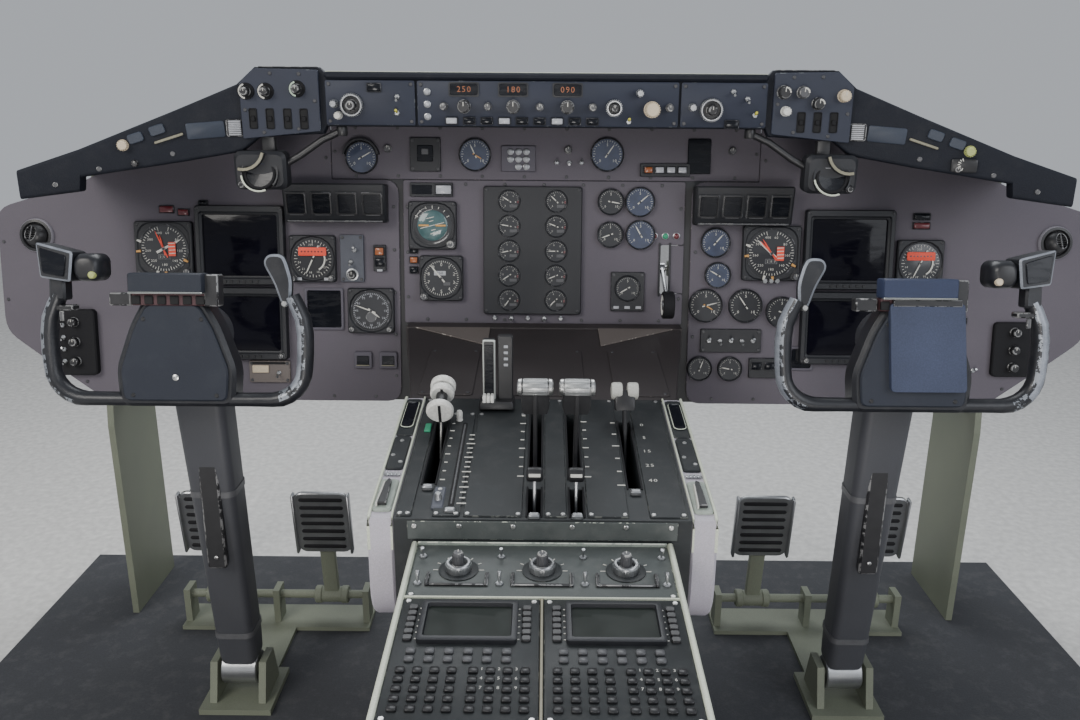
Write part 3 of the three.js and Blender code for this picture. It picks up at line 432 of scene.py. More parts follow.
class Piece:
    """Gathers shapes in millimetres, each set down in its place, into one mesh of several finishes."""

    def __init__(self, name, place=NO_TURN, body="root"):
        self.name, self.place, self.body = name, place, body
        self.mesh = bmesh.new()
        self.edge = self.mesh.faces.layers.float.new("edge")
        self.used = []

    def coat(self, faces, kind, edge=0.0):
        """Gives faces a finish. edge: 1 where the finish is rubbed off in places."""
        material = FINISH[kind]
        if material not in self.used:
            self.used.append(material)
        number = self.used.index(material)
        for face in faces:
            face.material_index = number
            face[self.edge] = edge
            face.smooth = True

    def points(self, spots, at):
        place = self.place @ at
        return [self.mesh.verts.new(place @ Vector(spot)) for spot in spots]

    def block(self, x0, x1, y0, y1, z0, z1, kind, bevel=0.8, at=NO_TURN):
        """A block between two corners with its edges broken."""
        x0, x1 = sorted((x0, x1))
        size = Matrix.Diagonal((x1 - x0, y1 - y0, z1 - z0, 1.0))
        middle = moved((x0 + x1) / 2, (y0 + y1) / 2, (z0 + z1) / 2)
        verts = bmesh.ops.create_cube(self.mesh, size=1.0, matrix=self.place @ at @ middle @ size)["verts"]
        faces = list({face for vert in verts for face in vert.link_faces})
        self.coat(faces, kind)
        bevel = min(bevel, (x1 - x0) * 0.4, (y1 - y0) * 0.4, (z1 - z0) * 0.4)
        if bevel > 0.05:
            edges = list({edge for vert in verts for edge in vert.link_edges})
            cut = bmesh.ops.bevel(self.mesh, geom=edges, offset=bevel, segments=1, affect="EDGES",
                                  profile=0.5)
            self.coat([face for face in cut["faces"] if face not in faces], kind, 1.0)

    def loops(self, rings, kinds, at=NO_TURN):
        """Joins rings of points with equal counts and closes both ends. kinds is one finish, or one for
        each stretch."""
        rings = [[Vector(spot) for spot in ring] for ring in rings]
        kinds = [kinds] * (len(rings) - 1) if isinstance(kinds, str) else kinds
        rows = [self.points(ring, at) for ring in rings]
        count = len(rows[0])
        made = []
        for i, (low, high) in enumerate(zip(rows, rows[1:])):
            narrow = sum((rings[i + 1][k] - rings[i][k]).length for k in range(count)) / count < 2.0
            strip = []
            for k in range(count):
                after = (k + 1) % count
                strip.append(self.mesh.faces.new((low[k], low[after], high[after], high[k])))
            self.coat(strip, kinds[i], 1.0 if narrow else 0.0)
            made += strip
        for row, kind in ((rows[0][::-1], kinds[0]), (rows[-1], kinds[-1])):
            cap = self.mesh.faces.new(row)
            self.coat([cap], kind)
            made.append(cap)
        bmesh.ops.recalc_face_normals(self.mesh, faces=made)
        return made

    def stack(self, rings, kinds, at=NO_TURN, sides=3):
        """A loft through round-cornered rectangles, with so many points to a corner. rings: width, height,
        corner radius, z."""
        return self.loops([rounded_loop(*ring, sides) for ring in rings], kinds, at)

    def stepped(self, wide, tall, rings, kinds, at=NO_TURN, sides=3):
        """A stack whose rings all grow or shrink from one size. rings: growth, corner radius, z."""
        return self.stack([(wide + more, tall + more, radius, z) for more, radius, z in rings], kinds, at,
                          sides)

    def spun(self, profile, kinds, at=NO_TURN, sides=24):
        """A turned shape about local z. profile: radius, z, from its foot to its tip."""
        rings = [[(x, y, z) for x, y in round_flat(radius, radius, sides)] for radius, z in profile]
        return self.loops(rings, kinds, at)

    def prism(self, outline, z0, z1, kind, bevel=1.0, at=NO_TURN):
        """An outline drawn out along local z, with the edges of both ends broken."""
        levels = [(outline, z0), (outline, z1)]
        if bevel:
            inner = offset_outline(outline, bevel)
            levels = [(inner, z0), (outline, z0 + bevel), (outline, z1 - bevel), (inner, z1)]
        return self.loops([[(x, y, z) for x, y in shape] for shape, z in levels], kind, at)

    def sweep(self, path, sections, kinds, at=NO_TURN, up=(0, 0, 1)):
        """A bar along a path: a section of flat points square to it, or one for each path point."""
        path = [Vector(spot) for spot in path]
        if isinstance(sections[0][0], (int, float)):
            sections = [sections] * len(path)
        rings = []
        for i, spot in enumerate(path):
            ahead = (path[min(i + 1, len(path) - 1)] - path[max(i - 1, 0)]).normalized()
            side = ahead.cross(Vector(up)).normalized()
            top = side.cross(ahead)
            rings.append([spot + side * a + top * b for a, b in sections[i]])
        return self.loops(rings, kinds, at)

    def take(self, mesh, kind, at=NO_TURN):
        """Adds a ready mesh in one finish."""
        verts = self.points([vert.co for vert in mesh.vertices], at)
        self.coat([self.mesh.faces.new([verts[i] for i in face.vertices]) for face in mesh.polygons], kind)

    def digits(self, words, size, x, y, z, kind="mark", at=NO_TURN):
        """A short number, flat on local z."""
        for i, letter in enumerate(words):
            step = (i - (len(words) - 1) / 2) * size * 0.62
            scale = Matrix.Diagonal((size, size, 1.0, 1.0))
            self.take(glyph(letter), kind, at @ shift(x + step, y, z) @ scale)

    def grow(self, tree, kind, at, points=(), **values):
        """Adds what a growth tree makes. values: its inputs by name."""
        named = {key.capitalize(): value for key, value in values.items()}
        mesh = grown(tree, {**named, "Material": FINISH[kind]}, points)
        self.take(mesh, kind, at)
        bpy.data.meshes.remove(mesh)

    def marks(self, kind, at, count, radius, size, start=0.0, step=None, every=1, longer=1.0):
        """Bars round an arc, clockwise from the top. size: length, width, height. Without a step in
        degrees they go all round."""
        length, width, height = (float(number) for number in size)
        step = 360 / count if step is None else step
        self.grow(ARC_TREE, kind, at, count=count, radius=float(radius), start=math.radians(start),
                  step=math.radians(step), length=length, width=width, height=height, every=every,
                  longer=longer)

    def grid(self, part, columns, rows, wide, tall, kind, at=NO_TURN):
        self.grow(GRID_TREE, kind, at, columns=columns, rows=rows, wide=wide, tall=tall, part=part)

    def scatter(self, part, spots, kind, seed=7, at=NO_TURN):
        self.grow(SCATTER_TREE, kind, at, spots, part=part, turn=3.14, seed=seed)

    def data(self):
        """The gathered mesh as plain data, with its finishes."""
        data = bpy.data.meshes.new(self.name)
        self.mesh.to_mesh(data)
        self.mesh.free()
        return data

    def done(self, slot, *replaced):
        """Finishes the piece in metres, with sharp edges marked, riding on its body."""
        for edge in self.mesh.edges:
            if len(edge.link_faces) == 2 and edge.calc_face_angle(0.0) > math.radians(SHARP):
                edge.smooth = False
        self.mesh.transform(Matrix.Scale(MM, 4))
        data = self.data()
        for material in self.used:
            data.materials.append(material)
        piece = shown(self.name, data)
        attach(piece, self.body)
        if replaced:
            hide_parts(*replaced)


def offset_outline(outline, inset):
    """The outline moved inwards by inset, corner by corner, whichever way it turns."""
    area = sum(a[0] * b[1] - b[0] * a[1] for a, b in zip(outline, outline[1:] + outline[:1]))
    inset = inset if area > 0 else -inset
    inner = []
    for before, here, after in zip(outline[-1:] + outline[:-1], outline, outline[1:] + outline[:1]):
        first = Vector((here[0] - before[0], here[1] - before[1])).normalized()
        second = Vector((after[0] - here[0], after[1] - here[1])).normalized()
        normal = Vector((-first.y - second.y, first.x + second.x)).normalized()
        normal /= max(0.35, math.cos(first.angle(second, 0.0) / 2))
        inner.append((here[0] + normal.x * inset, here[1] + normal.y * inset))
    return inner


def small_part(name, build):
    """A small part kept off the scene, for the growth trees to copy."""
    piece = Piece(name)
    build(piece)
    return bpy.data.objects.new(name, piece.data())


def build_screw(piece):
    piece.spun([(3.0, -0.4), (3.0, 0.7), (2.3, 1.3)], "steel", sides=12)
    piece.block(-2.5, 2.5, -0.45, 0.45, 1.25, 1.45, "steel", bevel=0)


def build_key(piece):
    piece.stack([(9, 7.5, 1.2, 0), (9, 7.5, 1.2, 2.2), (8, 6.5, 1.2, 3)], "knob", sides=2)


def build_slat(piece):
    piece.block(-9.5, 9.5, -1.0, 1.0, 0, 1.4, "lamp_white", 0.3)


SCREW = small_part("panel_screw", build_screw)
KEY = small_part("key_cap", build_key)
SLAT = small_part("lamp_slat", build_slat)


def soft_outline(points, radius, steps=4):
    """The outline with rounded corners: one radius for all of them, or a tuple with one for each."""
    points = list(points)
    radii = radius if isinstance(radius, tuple) else (radius,) * len(points)
    out = []
    for before, here, after, radius in zip(points[-1:] + points[:-1], points, points[1:] + points[:1],
                                           radii):
        corner = Vector(here)
        back, ahead = Vector(before) - corner, Vector(after) - corner
        start = corner + back.normalized() * min(radius, back.length * 0.45)
        end = corner + ahead.normalized() * min(radius, ahead.length * 0.45)
        for i in range(steps + 1):
            part = i / steps
            spot = start * (1 - part) ** 2 + corner * 2 * part * (1 - part) + end * part ** 2
            out.append((spot.x, spot.y))
    return out


def mirrored(points):
    return [(-u, v) for u, v in points][::-1]


# Small things on panels

def knob(piece, radius, tall, at, kind="knob", line=True):
    """A turned knob with a skirt, ribs round it and a pointer line on top."""
    piece.spun([
        (radius, 0), (radius, 1.6), (radius * 0.86, 2.6), (radius * 0.82, tall - 1.4),
        (radius * 0.70, tall), (radius * 0.5, tall + 0.01),
    ], kind, at, 20)
    piece.marks(kind, at @ shift(0, 0, tall * 0.52), max(10, int(radius * 1.6)), radius * 0.93,
                (radius * 0.14, radius * 0.15, tall * 0.62))
    if line:
        piece.block(-radius * 0.06, radius * 0.06, radius * 0.1, radius * 0.68, tall, tall + 0.5, "mark", 0,
                    at)


def toggle(piece, at, lean=18, kind="metal", tall=15):
    """A toggle switch: a nut and a bat-shaped lever."""
    piece.spun([(4.6, 0), (4.6, 1.8), (3.4, 2.8)], "metal", at, 6)
    piece.spun([(1.3, 1.5), (1.6, tall * 0.5), (2.6, tall * 0.85), (2.0, tall)], kind,
               at @ turned("X", lean), 10)


def toggle_row(piece, u, v, count, apart, level=0.0, lean=18, tall=15):
    """Toggles side by side, or one below the other where apart is a tuple, thrown one way and the other."""
    du, dv = apart if isinstance(apart, tuple) else (apart, 0)
    for i in range(count):
        toggle(piece, shift(u + du * i, v + dv * i, level), lean if i % 2 else -lean, tall=tall)


def lamp(piece, wide, tall, at, kind):
    """A square lamp cap in a thin black frame."""
    piece.stepped(wide, tall, [(3, 1, 0), (3, 1, 3), (1.8, 1, 3.7), (0, 0.8, 3.2), (-0.6, 0.8, 4.6),
                               (-2, 0.8, 5.2)], ["black"] * 3 + [kind] * 2, at, 2)


def round_lamp(piece, radius, at, kind):
    piece.spun([
        (radius + 1.4, 0), (radius + 1.4, 1.6), (radius, 2.2), (radius, 3.0), (radius * 0.72, 4.4),
        (radius * 0.3, 5.0),
    ], ["metal"] * 2 + [kind] * 3, at, 16)


# How far dial faces stand out of the panel: small round ones, and those in a square bezel with its top
SMALL_FACE, FACE, BEZEL = 6.0, 8.2, 10.2


def rim_dial(piece, radius, at, face="dial", flare=4.0):
    """A round rim with a dial face let into it."""
    piece.spun([
        (radius + flare, 0.3), (radius + flare, 7.4), (radius + flare - 1.2, 8.8), (radius + 0.9, 8.8),
        (radius - 0.4, 7.6), (radius - 0.4, SMALL_FACE), (radius * 0.5, SMALL_FACE + 0.01),
    ], ["black"] * 5 + [face], at, 32)


def pointer(piece, length, wide, turn, level=FACE, kind="mark", tail=0.3, at=NO_TURN):
    """A flat pointer on its hub. turn is clockwise from the top, in degrees."""
    shape = [
        (-wide / 2, -length * tail), (wide / 2, -length * tail), (wide * 0.42, length * 0.72),
        (0.25, length), (-0.25, length), (-wide * 0.42, length * 0.72),
    ]
    piece.prism(shape, level + 1.2, level + 1.8, kind, 0, at @ shift(0, 0, 0, -turn))
    piece.spun([(wide * 0.8, level), (wide * 0.8, level + 2.2), (wide * 0.5, level + 2.8)], "knob", at, 12)


def ring_of_numbers(piece, words, size, radius, start, step, level=FACE, kind="mark", at=NO_TURN):
    """Numbers round a dial. Angles run clockwise from the top, in degrees."""
    for i, word in enumerate(words):
        piece.digits(word, size, *clockwise(radius, start + step * i), level + 0.3, kind, at)


def scale(piece, radius, count, start, sweep, every=5, numbers=(), size=6.0, kind="mark", inner=0.66,
          level=FACE, at=NO_TURN):
    """Bars and numbers round a dial. Angles run clockwise from the top, in degrees."""
    piece.marks(kind, at @ shift(0, 0, level + 0.2), count, radius * 0.93,
                (radius * 0.09, radius * 0.022, 0.4), start, sweep / (count - 1), every, 1.8)
    ring_of_numbers(piece, numbers, size, radius * inner, start, sweep / max(1, len(numbers) - 1), level,
                    kind, at)


# Instruments in the panels

def case_behind(piece, wide, tall, deep):
    """The closed case behind the panel: sleeve, back cover on four screws, and plugs with ribbed rings."""
    piece.stepped(wide - 10, tall - 10, [(-4, 4, -deep), (0, 4, 2 - deep), (0, 4, 11 - deep),
                                         (-3, 4, 11.6 - deep), (-3, 4, 13.4 - deep), (0, 4, 14 - deep),
                                         (0, 4, -4.6)], "case", sides=2)
    back = moved(0, 0, -deep) @ turned("Y", 180)
    corner_screws(piece, wide - 10, tall - 10, 8, -0.1, back, 13, "steel")
    for x, radius in ((0, 14),) if wide < 120 else ((22, 14), (-30, 10)):
        plug = back @ shift(x, 0)
        piece.stack([(2.2 * radius, 2.2 * radius, 3, -0.4), (2.2 * radius, 2.2 * radius, 3, 1.6)], "metal",
                    plug)
        piece.spun([(radius, 1), (radius, 3), (radius - 2, 3.5), (radius - 2, 7.5), (radius, 8),
                    (radius, 11), (radius - 1, 12), (radius - 3, 12), (radius - 3.4, 9)],
                   ["metal"] * 7 + ["slot_dark"], plug, 20)
        piece.marks("metal", plug @ shift(0, 0, 9.5), 18, radius + 0.2, (1.0, 1.6, 3.0))


def corner_screws(piece, wide, tall, inset, level, at=NO_TURN, seed=3, kind="screw"):
    x, y = wide / 2 - inset, tall / 2 - inset
    piece.scatter(SCREW, [(sx * x, sy * y, level) for sx in (-1, 1) for sy in (-1, 1)], kind, seed, at)


def display(name, u, v, tall, node):
    """A display with a deep bezel, glass with a slight bulge, a row of keys and two knobs."""
    wide = 160
    piece = Piece(name, PANEL_PLACE @ shift(u, v))
    case_behind(piece, wide, tall, 140)
    glass = (wide - 28, tall - 34)
    # columns: growth beyond the glass, corner radius, z
    rim = [(glass[0] + more, glass[1] + more, radius, z)
           for more, radius, z in ((12, 5, 14), (8, 4, 11), (2, 4, 10), (0, 4, 6.6))]
    # columns: share of the glass, corner radius, z
    bulge = [(glass[0] * part, glass[1] * part, radius, z)
             for part, radius, z in ((0.86, 8, 7.7), (0.5, 12, 8.6))]
    piece.stack([(wide, tall, 6, 0.3), (wide, tall, 6, 11), (wide - 3.5, tall - 3.5, 5, 14)] + rim + bulge,
                ["black"] * 6 + ["screen"] * 2, sides=5)
    piece.grid(KEY, 6, 1, wide * 0.52, 0, "knob", shift(0, -tall / 2 + 6.5, 13.4) @ Matrix.Scale(0.7, 4))
    for side in (-1, 1):
        knob(piece, 5.5, 9, shift(side * (wide / 2 - 11), -tall / 2 + 8, 13.6), "knob_grey")
    corner_screws(piece, wide, tall, 5.5, 13.4)
    piece.done("instrument_black", node)


def open_dial(name, u, v, wide, tall, deep, radius, corners):
    """A case and a square bezel that steps down to a round dial."""
    piece = Piece(name, PANEL_PLACE @ shift(u, v))
    case_behind(piece, wide, tall, deep)
    piece.stack([
        (wide, tall, 5, 0.3), (wide, tall, 5, 8.6), (wide - 3, tall - 3, 4, 10.4),
        (radius * 2 + 9, radius * 2 + 9, corners, 10.4), (radius * 2 + 5, radius * 2 + 5, corners, 8.0),
    ], "black", sides=5)
    piece.spun([
        (radius + 2, 7.5), (radius + 2, 9.2), (radius, 9.2), (radius - 0.5, FACE),
        (radius * 0.5, FACE + 0.05),
    ], ["black"] * 3 + ["dial"], sides=36)
    return piece


def close_dial(piece, wide, tall, node, knobs, radius, high, inset=5):
    """The knobs at a dial's corners, its screws and its node. knobs: x, y."""
    for x, y in knobs:
        knob(piece, radius, high, shift(x, y, BEZEL), "knob_grey")
    corner_screws(piece, wide, tall, inset, BEZEL)
    piece.done("instrument_black", node)


def airspeed(name, u, v, node, side):
    piece = open_dial(name, u, v, 104, 98, 130, 43, 26)
    scale(piece, 43, 46, 15, 330, 5, ("60", "80", "100", "140", "180", "220", "260", "300", "400"), 6.0,
          inner=0.67)
    piece.block(-11, 11, -19, -10, FACE, FACE + 0.5, "knob_grey", 0.2)
    for i, digit in enumerate("250"):
        piece.block(-9 + 6.4 * i, -4.2 + 6.4 * i, -17.6, -11.4, FACE + 0.5, FACE + 0.9, "dial", 0.2)
        piece.digits(digit, 5.4, -6.6 + 6.4 * i, -14.6, FACE + 1.0)
    pointer(piece, 36, 4.5, 62 if side < 0 else -48, tail=0.4)
    for turn, length in ((-14, 24), (-24, 34)) if side < 0 else ((-34, 30), (-44, 30)):
        pointer(piece, length, 2.4, turn, FACE + 0.8, "flag", 0.5)
    # Red flag with its bars, and bugs on the rim
    piece.block(9, 22, -13, 12, FACE + 1.9, FACE + 3.0, "flag", 0.3)
    for i in range(4):
        piece.block(9.5, 21.5, -10 + 6 * i, -8.6 + 6 * i, FACE + 3.0, FACE + 3.2, "mark", 0,
                    shift(0, 0, 0, 4))
    for turn, kind in ((-96, "mark_amber"), (-72, "mark"), (176, "mark_amber"), (196, "mark"),
                       (118, "mark_amber")):
        piece.prism([(-2.4, 41), (2.4, 41), (1.6, 49), (-1.6, 49)], 9.2, 12.5, kind, 0.4,
                    shift(0, 0, 0, -turn))
    close_dial(piece, 104, 98, node, [(43, -41)], 7, 12, 6)


def radio_magnetic(name, u, v, node):
    piece = open_dial(name, u, v, 83, 84, 130, 36, 36)
    scale(piece, 36, 36, 0, 350, 3, [str(3 * i) for i in range(12)], 5.0, inner=0.7)
    piece.stack([(50, 15, 2, 9.4), (50, 15, 2, 11.2), (48, 13, 2, 11.8)], "flag", shift(0, 13))
    for i in range(7):
        piece.block(-20 + 6 * i, -17.5 + 6 * i, -1.2, 1.2, 11.8, 12.1, "dial", 0, shift(0, 13))
    piece.sweep([(*clockwise(22, turn), FACE + 1.5) for turn in range(60, 151, 10)],
                bar_flat(1.4, -0.4, 0.4), "mark")
    pointer(piece, 29, 2.6, 205, tail=0.9)
    for side in (-1, 1):
        piece.block(side * 24 - 4, side * 24 + 4, -38.5, -33.5, BEZEL, 10.8, "lamp_white", 0.2)
    close_dial(piece, 83, 84, node, [(-34, -35), (34, -35)], 6, 11)


def clock(name, u, v, node):
    piece = open_dial(name, u, v, 84, 82, 110, 35, 35)
    scale(piece, 35, 60, 0, 354, kind="lamp_white")
    ring_of_numbers(piece, ["60"] + [str(5 * i) for i in range(1, 12)], 5.2, 26, 0, 30, kind="lamp_white")
    piece.spun([(9.5, FACE), (9.5, FACE + 0.3), (8.6, FACE + 0.35)], "knob_grey", shift(0, -11.5))
    pointer(piece, 20, 3.2, 128, FACE + 0.4)
    pointer(piece, 29, 2.2, 290, FACE + 0.9)
    close_dial(piece, 84, 82, node, [(-34, -33), (34, -33)], 5.5, 10)


def horizon(name, u, v, node):
    piece = open_dial(name, u, v, 86, 85, 120, 36, 30)
    piece.spun([(34, FACE), (29, FACE + 1.4), (27, FACE + 0.8), (22, FACE + 3.0), (12, FACE + 4.4),
                (4, FACE + 4.6)],
               ["dial"] * 2 + ["teal_dial"] * 3, sides=36)
    for y, half in ((-14, 7), (-8, 4), (8, 4), (14, 7), (0, 22)):
        piece.block(-half, half, y - 0.6, y + 0.6, FACE + 3.0, FACE + 4.75, "mark", 0, shift(0, 0, 0, 14))
    for side in (-1, 1):
        piece.block(side * 15 - 9, side * 15 + 9, -1.6, 1.6, FACE + 5.2, FACE + 6.2, "mark_amber", 0.3)
    piece.marks("mark", shift(0, 0, FACE + 1.6), 7, 35, (4.0, 1.1, 1.0), -60, 20, 3, 1.4)
    close_dial(piece, 86, 85, node, [(33, -33)], 8, 13)


def altimeter(name, u, v, node):
    piece = open_dial(name, u, v, 78, 81, 120, 34, 34)
    scale(piece, 34, 50, 0, 352.8)
    ring_of_numbers(piece, "0123456789", 8.0, 24, 0, 36)
    piece.block(-13, 8, 5, 13, FACE, FACE + 0.6, "lamp_white", 0.2)
    piece.digits("250", 6.5, -2.5, 9, FACE + 0.9, "dial")
    piece.block(4, 16, -13, -7, FACE, FACE + 0.6, "knob_grey", 0.2)
    pointer(piece, 30, 3, 320, FACE + 0.3)
    close_dial(piece, 78, 81, node, [(-31, -33)], 7, 12)


def engine_dials():
    """Two columns of five small dials in one bezel, each with a counter window."""
    wide, tall = 176, 228
    piece = Piece("engine_instrument_group", PANEL_PLACE @ shift(-22, 272))
    case_behind(piece, wide, tall, 120)
    piece.stepped(wide, tall, [(0, 5, 0.3), (0, 5, 7.6), (-3, 5, 9.6)], "black", sides=4)
    for row in range(5):
        for side in (-1, 1):
            at = shift(side * 42, (row - 2) * 44, 3.6)
            rim_dial(piece, 18.4, at, flare=1.8)
            scale(piece, 18, 21, -140, 240, 5, "02468", 4.0, inner=0.62, level=SMALL_FACE, at=at)
            piece.marks("lamp_red", at @ shift(0, 0, 6.2), 2, 16.9, (3.0, 2.0, 0.4), 92, 8)
            piece.block(1, 14, -11, -6, SMALL_FACE, SMALL_FACE + 0.4, "knob_grey", 0.2, at)
            pointer(piece, 14, 2.0, -140 + 22 * row + 6 * side, SMALL_FACE, at=at)
    corner_screws(piece, wide, tall, 6, 9.4)
    piece.done("instrument_black", "engine_instruments")


for side_name, side in SIDES:
    across = 0 if side < 0 else PILOT_SHIFT
    display(f"attitude_display_face_{side_name}", -546 + across, 278, 142, f"attitude_display_{side_name}")
    display(f"navigation_display_face_{side_name}", -546 + across, 137, 132,
            f"navigation_display_{side_name}")
    airspeed(f"airspeed_dial_{side_name}", -684 + across, 271, f"airspeed_indicator_{side_name}", side)
    radio_magnetic(f"radio_magnetic_dial_{side_name}", -417 + across, 255,
                   f"radio_magnetic_indicator_{side_name}")
clock("clock_dial_left", -314, 162, "clock_left")
clock("clock_dial_right", 676, 152, "clock_right")
horizon("standby_horizon_dial", -201, 316, "standby_horizon")
altimeter("standby_altimeter_dial", -186, 222, "standby_altimeter")
engine_dials()


# Panel plates with their small instruments, switches and lamps

PILOT_OUTLINE = [
    (262, -6), (813, -6), (944, 88), (985, 120), (985, 340), (914, 362), (845, 380), (800, 402),
    (700, 438), (552, 468), (470, 484), (381, 490), (381, 396), (262, 396),
]
PILOT_CORNERS = (26, 26, 26, 26, 26, 26, 20, 20, 26, 26, 26, 2, 2, 26)


def small_dial(piece, u, v, radius, face="dial", turn=30.0, second=None):
    """A small round dial with its scale and one or two pointers."""
    at = shift(u, v)
    rim_dial(piece, radius - 1.5, at, face, flare=2.2)
    scale(piece, radius - 2, 25, -130, 260, 4, ("0", "5", "10"), radius * 0.24, inner=0.62,
          level=SMALL_FACE, at=at)
    pointer(piece, radius * 0.72, 2.2, turn, SMALL_FACE, at=at)
    if second is not None:
        pointer(piece, radius * 0.5, 2.4, second, SMALL_FACE + 0.4, "mark_amber", at=at)


def raised_plate(piece, u, v, wide, tall, proud, kind, radius=2.0, screws=True):
    piece.stepped(wide, tall, [(0.6, radius, 0), (0.6, radius, proud - 0.8), (-1, radius, proud + 0.3)],
                  kind, shift(u, v))
    if screws:
        corner_screws(piece, wide, tall, 4.5, proud + 0.1, shift(u, v))


def recess(piece, u, v, wide, tall, proud, inside):
    """A framed opening with a dark, sunk face."""
    piece.stepped(wide, tall, [(0.6, 4, 0), (0.6, 4, proud), (-1.4, 4, proud + 1), (-7, 3, proud + 1),
                               (-9, 3, proud), (-9, 3, 0.6), (-24, 3, 0.5)],
                  ["panel_dark"] * 4 + [inside] * 2, shift(u, v), 4)


def edge_screws(piece, outline, inset, step, level=0.2, skip=()):
    """Screws along an outline, set in from its edge. skip: middles and half sizes of bare patches."""
    spots = []
    inner = offset_outline(outline, inset)
    for a, b in zip(inner, inner[1:] + inner[:1]):
        count = int(math.dist(a, b) // step)
        for i in range(count):
            part = (i + 0.5) / count
            x, y = a[0] + (b[0] - a[0]) * part, a[1] + (b[1] - a[1]) * part
            if not any(abs(x - u) < du and abs(y - v) < dv for u, v, du, dv in skip):
                spots.append((x, y, level))
    piece.scatter(SCREW, spots, "screw", 5)


def left_plate():
    piece = Piece("left_pilot_plate", PANEL_PLACE)
    outline = mirrored(PILOT_OUTLINE)
    piece.prism(soft_outline(outline, PILOT_CORNERS[::-1]), -4, 0, "panel", 0.9)
    edge_screws(piece, outline, 9, 74)
    # Lamps over the airspeed dial
    for u, v, wide, tall, kind in ((-678, 341, 24, 11, "lamp_red"), (-648, 336, 18, 10, "lamp_red"),
                                   (-612, 352, 14, 9, "window")):
        lamp(piece, wide, tall, shift(u, v), kind)
    # Switch plate beside the radio magnetic dial
    raised_plate(piece, -347, 256, 42, 84, 5, "plate_grey")
    for u, v, lean in ((-342, 271, -20), (-349, 250, 20)):
        toggle(piece, shift(u, v, 5), lean)
    knob(piece, 8.5, 11, shift(-347, 227, 5))
    piece.spun([(11, 5), (11, 6.2), (9.5, 6.6)], "metal", shift(-347, 227))
    # Lamp stack beside it
    raised_plate(piece, -297, 257, 22, 46, 6, "black", 1.5, screws=False)
    lamp(piece, 15, 13, shift(-297, 269, 6), "lamp_amber")
    lamp(piece, 15, 13, shift(-297, 250, 6), "window")
    piece.block(-302, -292, 233, 237, 6, 7.4, "lamp_white", 0.4)
    # Recess and small panels under the displays
    recess(piece, -400, 164, 70, 76, 3, "window")
    for u in (-331, -285):
        raised_plate(piece, u, 71, 32, 30, 6, "panel_dark", 3, screws=False)
        piece.block(u - 11, u + 11, 63, 79, 6, 8.2, "window", 0.6)
        piece.block(u - 12, u + 12, 60.6, 62.4, 6, 8.4, "trim_dull", 0.3)
    raised_plate(piece, -503, 48, 74, 40, 5, "console", 3)
    piece.block(-534, -504, 46, 60, 5, 8, "knob_cream", 1.0)
    piece.block(-534, -474, 62, 66, 5, 7, "slot_dark", 0.6)
    toggle(piece, shift(-486, 46, 5), 24)
    for v in (196, 172):
        knob(piece, 7, 10, shift(-610, v), "knob_grey")
    # Flat switch box beside the wheel
    piece.stack([(72.6, 120.6, 8, 0), (72.6, 120.6, 8, 12), (68, 116, 7, 14)], "rubber", shift(-852, 100),
                4)
    for i in range(3):
        knob(piece, 9, 13, shift(-852, 138 - 36 * i, 14))
    toggle_row(piece, -873, 132, 4, (0, -22), 14, tall=12)
    toggle_row(piece, -760, 60, 3, 22)
    piece.done("panel_paint", "left_pilot_panel")


def right_plate():
    piece = Piece("right_pilot_plate", PANEL_PLACE)
    piece.prism(soft_outline(PILOT_OUTLINE, PILOT_CORNERS), -4, 0, "panel", 0.9)
    edge_screws(piece, PILOT_OUTLINE, 9, 74)
    # columns: u, v, radius, face, pointer, second pointer
    for dial in ((306, 289, 26, "blue_dial", 40), (312, 231, 23, "blue_dial", -60),
                 (292, 176, 30, "dial", 75, 120), (364, 176, 30, "dial", -35), (430, 165, 28, "dial", 110),
                 (285, 60, 22, "dial", 20), (340, 60, 22, "dial", -80)):
        small_dial(piece, *dial)
    raised_plate(piece, 340, 112, 110, 42, 5, "black")
    toggle_row(piece, 300, 112, 5, 20, 5, 20)
    # Three ridged metal knobs side by side, under the blue dials
    for i in range(3):
        knob(piece, 5.2, 13, shift(396 + 11 * i, 222), "metal", line=False)
    raised_plate(piece, 400, 62, 50, 36, 6, "black", screws=False)
    for i in range(2):
        lamp(piece, 16, 11, shift(388 + 24 * i, 66, 6), "window")
    lamp(piece, 28, 10, shift(673, 322), "lamp_red")
    lamp(piece, 28, 10, shift(673, 338), "window")
    toggle_row(piece, 742, 60, 3, 22)
    piece.stack([(72, 100, 8, 0), (72, 100, 8, 8), (68, 96, 7, 10)], "rubber", shift(852, 100), 4)
    for i in range(3):
        knob(piece, 9, 13, shift(852, 132 - 32 * i, 10))
    recess(piece, 470, 80, 44, 44, 3, "window")
    for u, v in ((600, 50), (626, 50), (760, 152)):
        lamp(piece, 12, 12, shift(u, v), "window")
    piece.done("panel_paint", "right_pilot_panel")


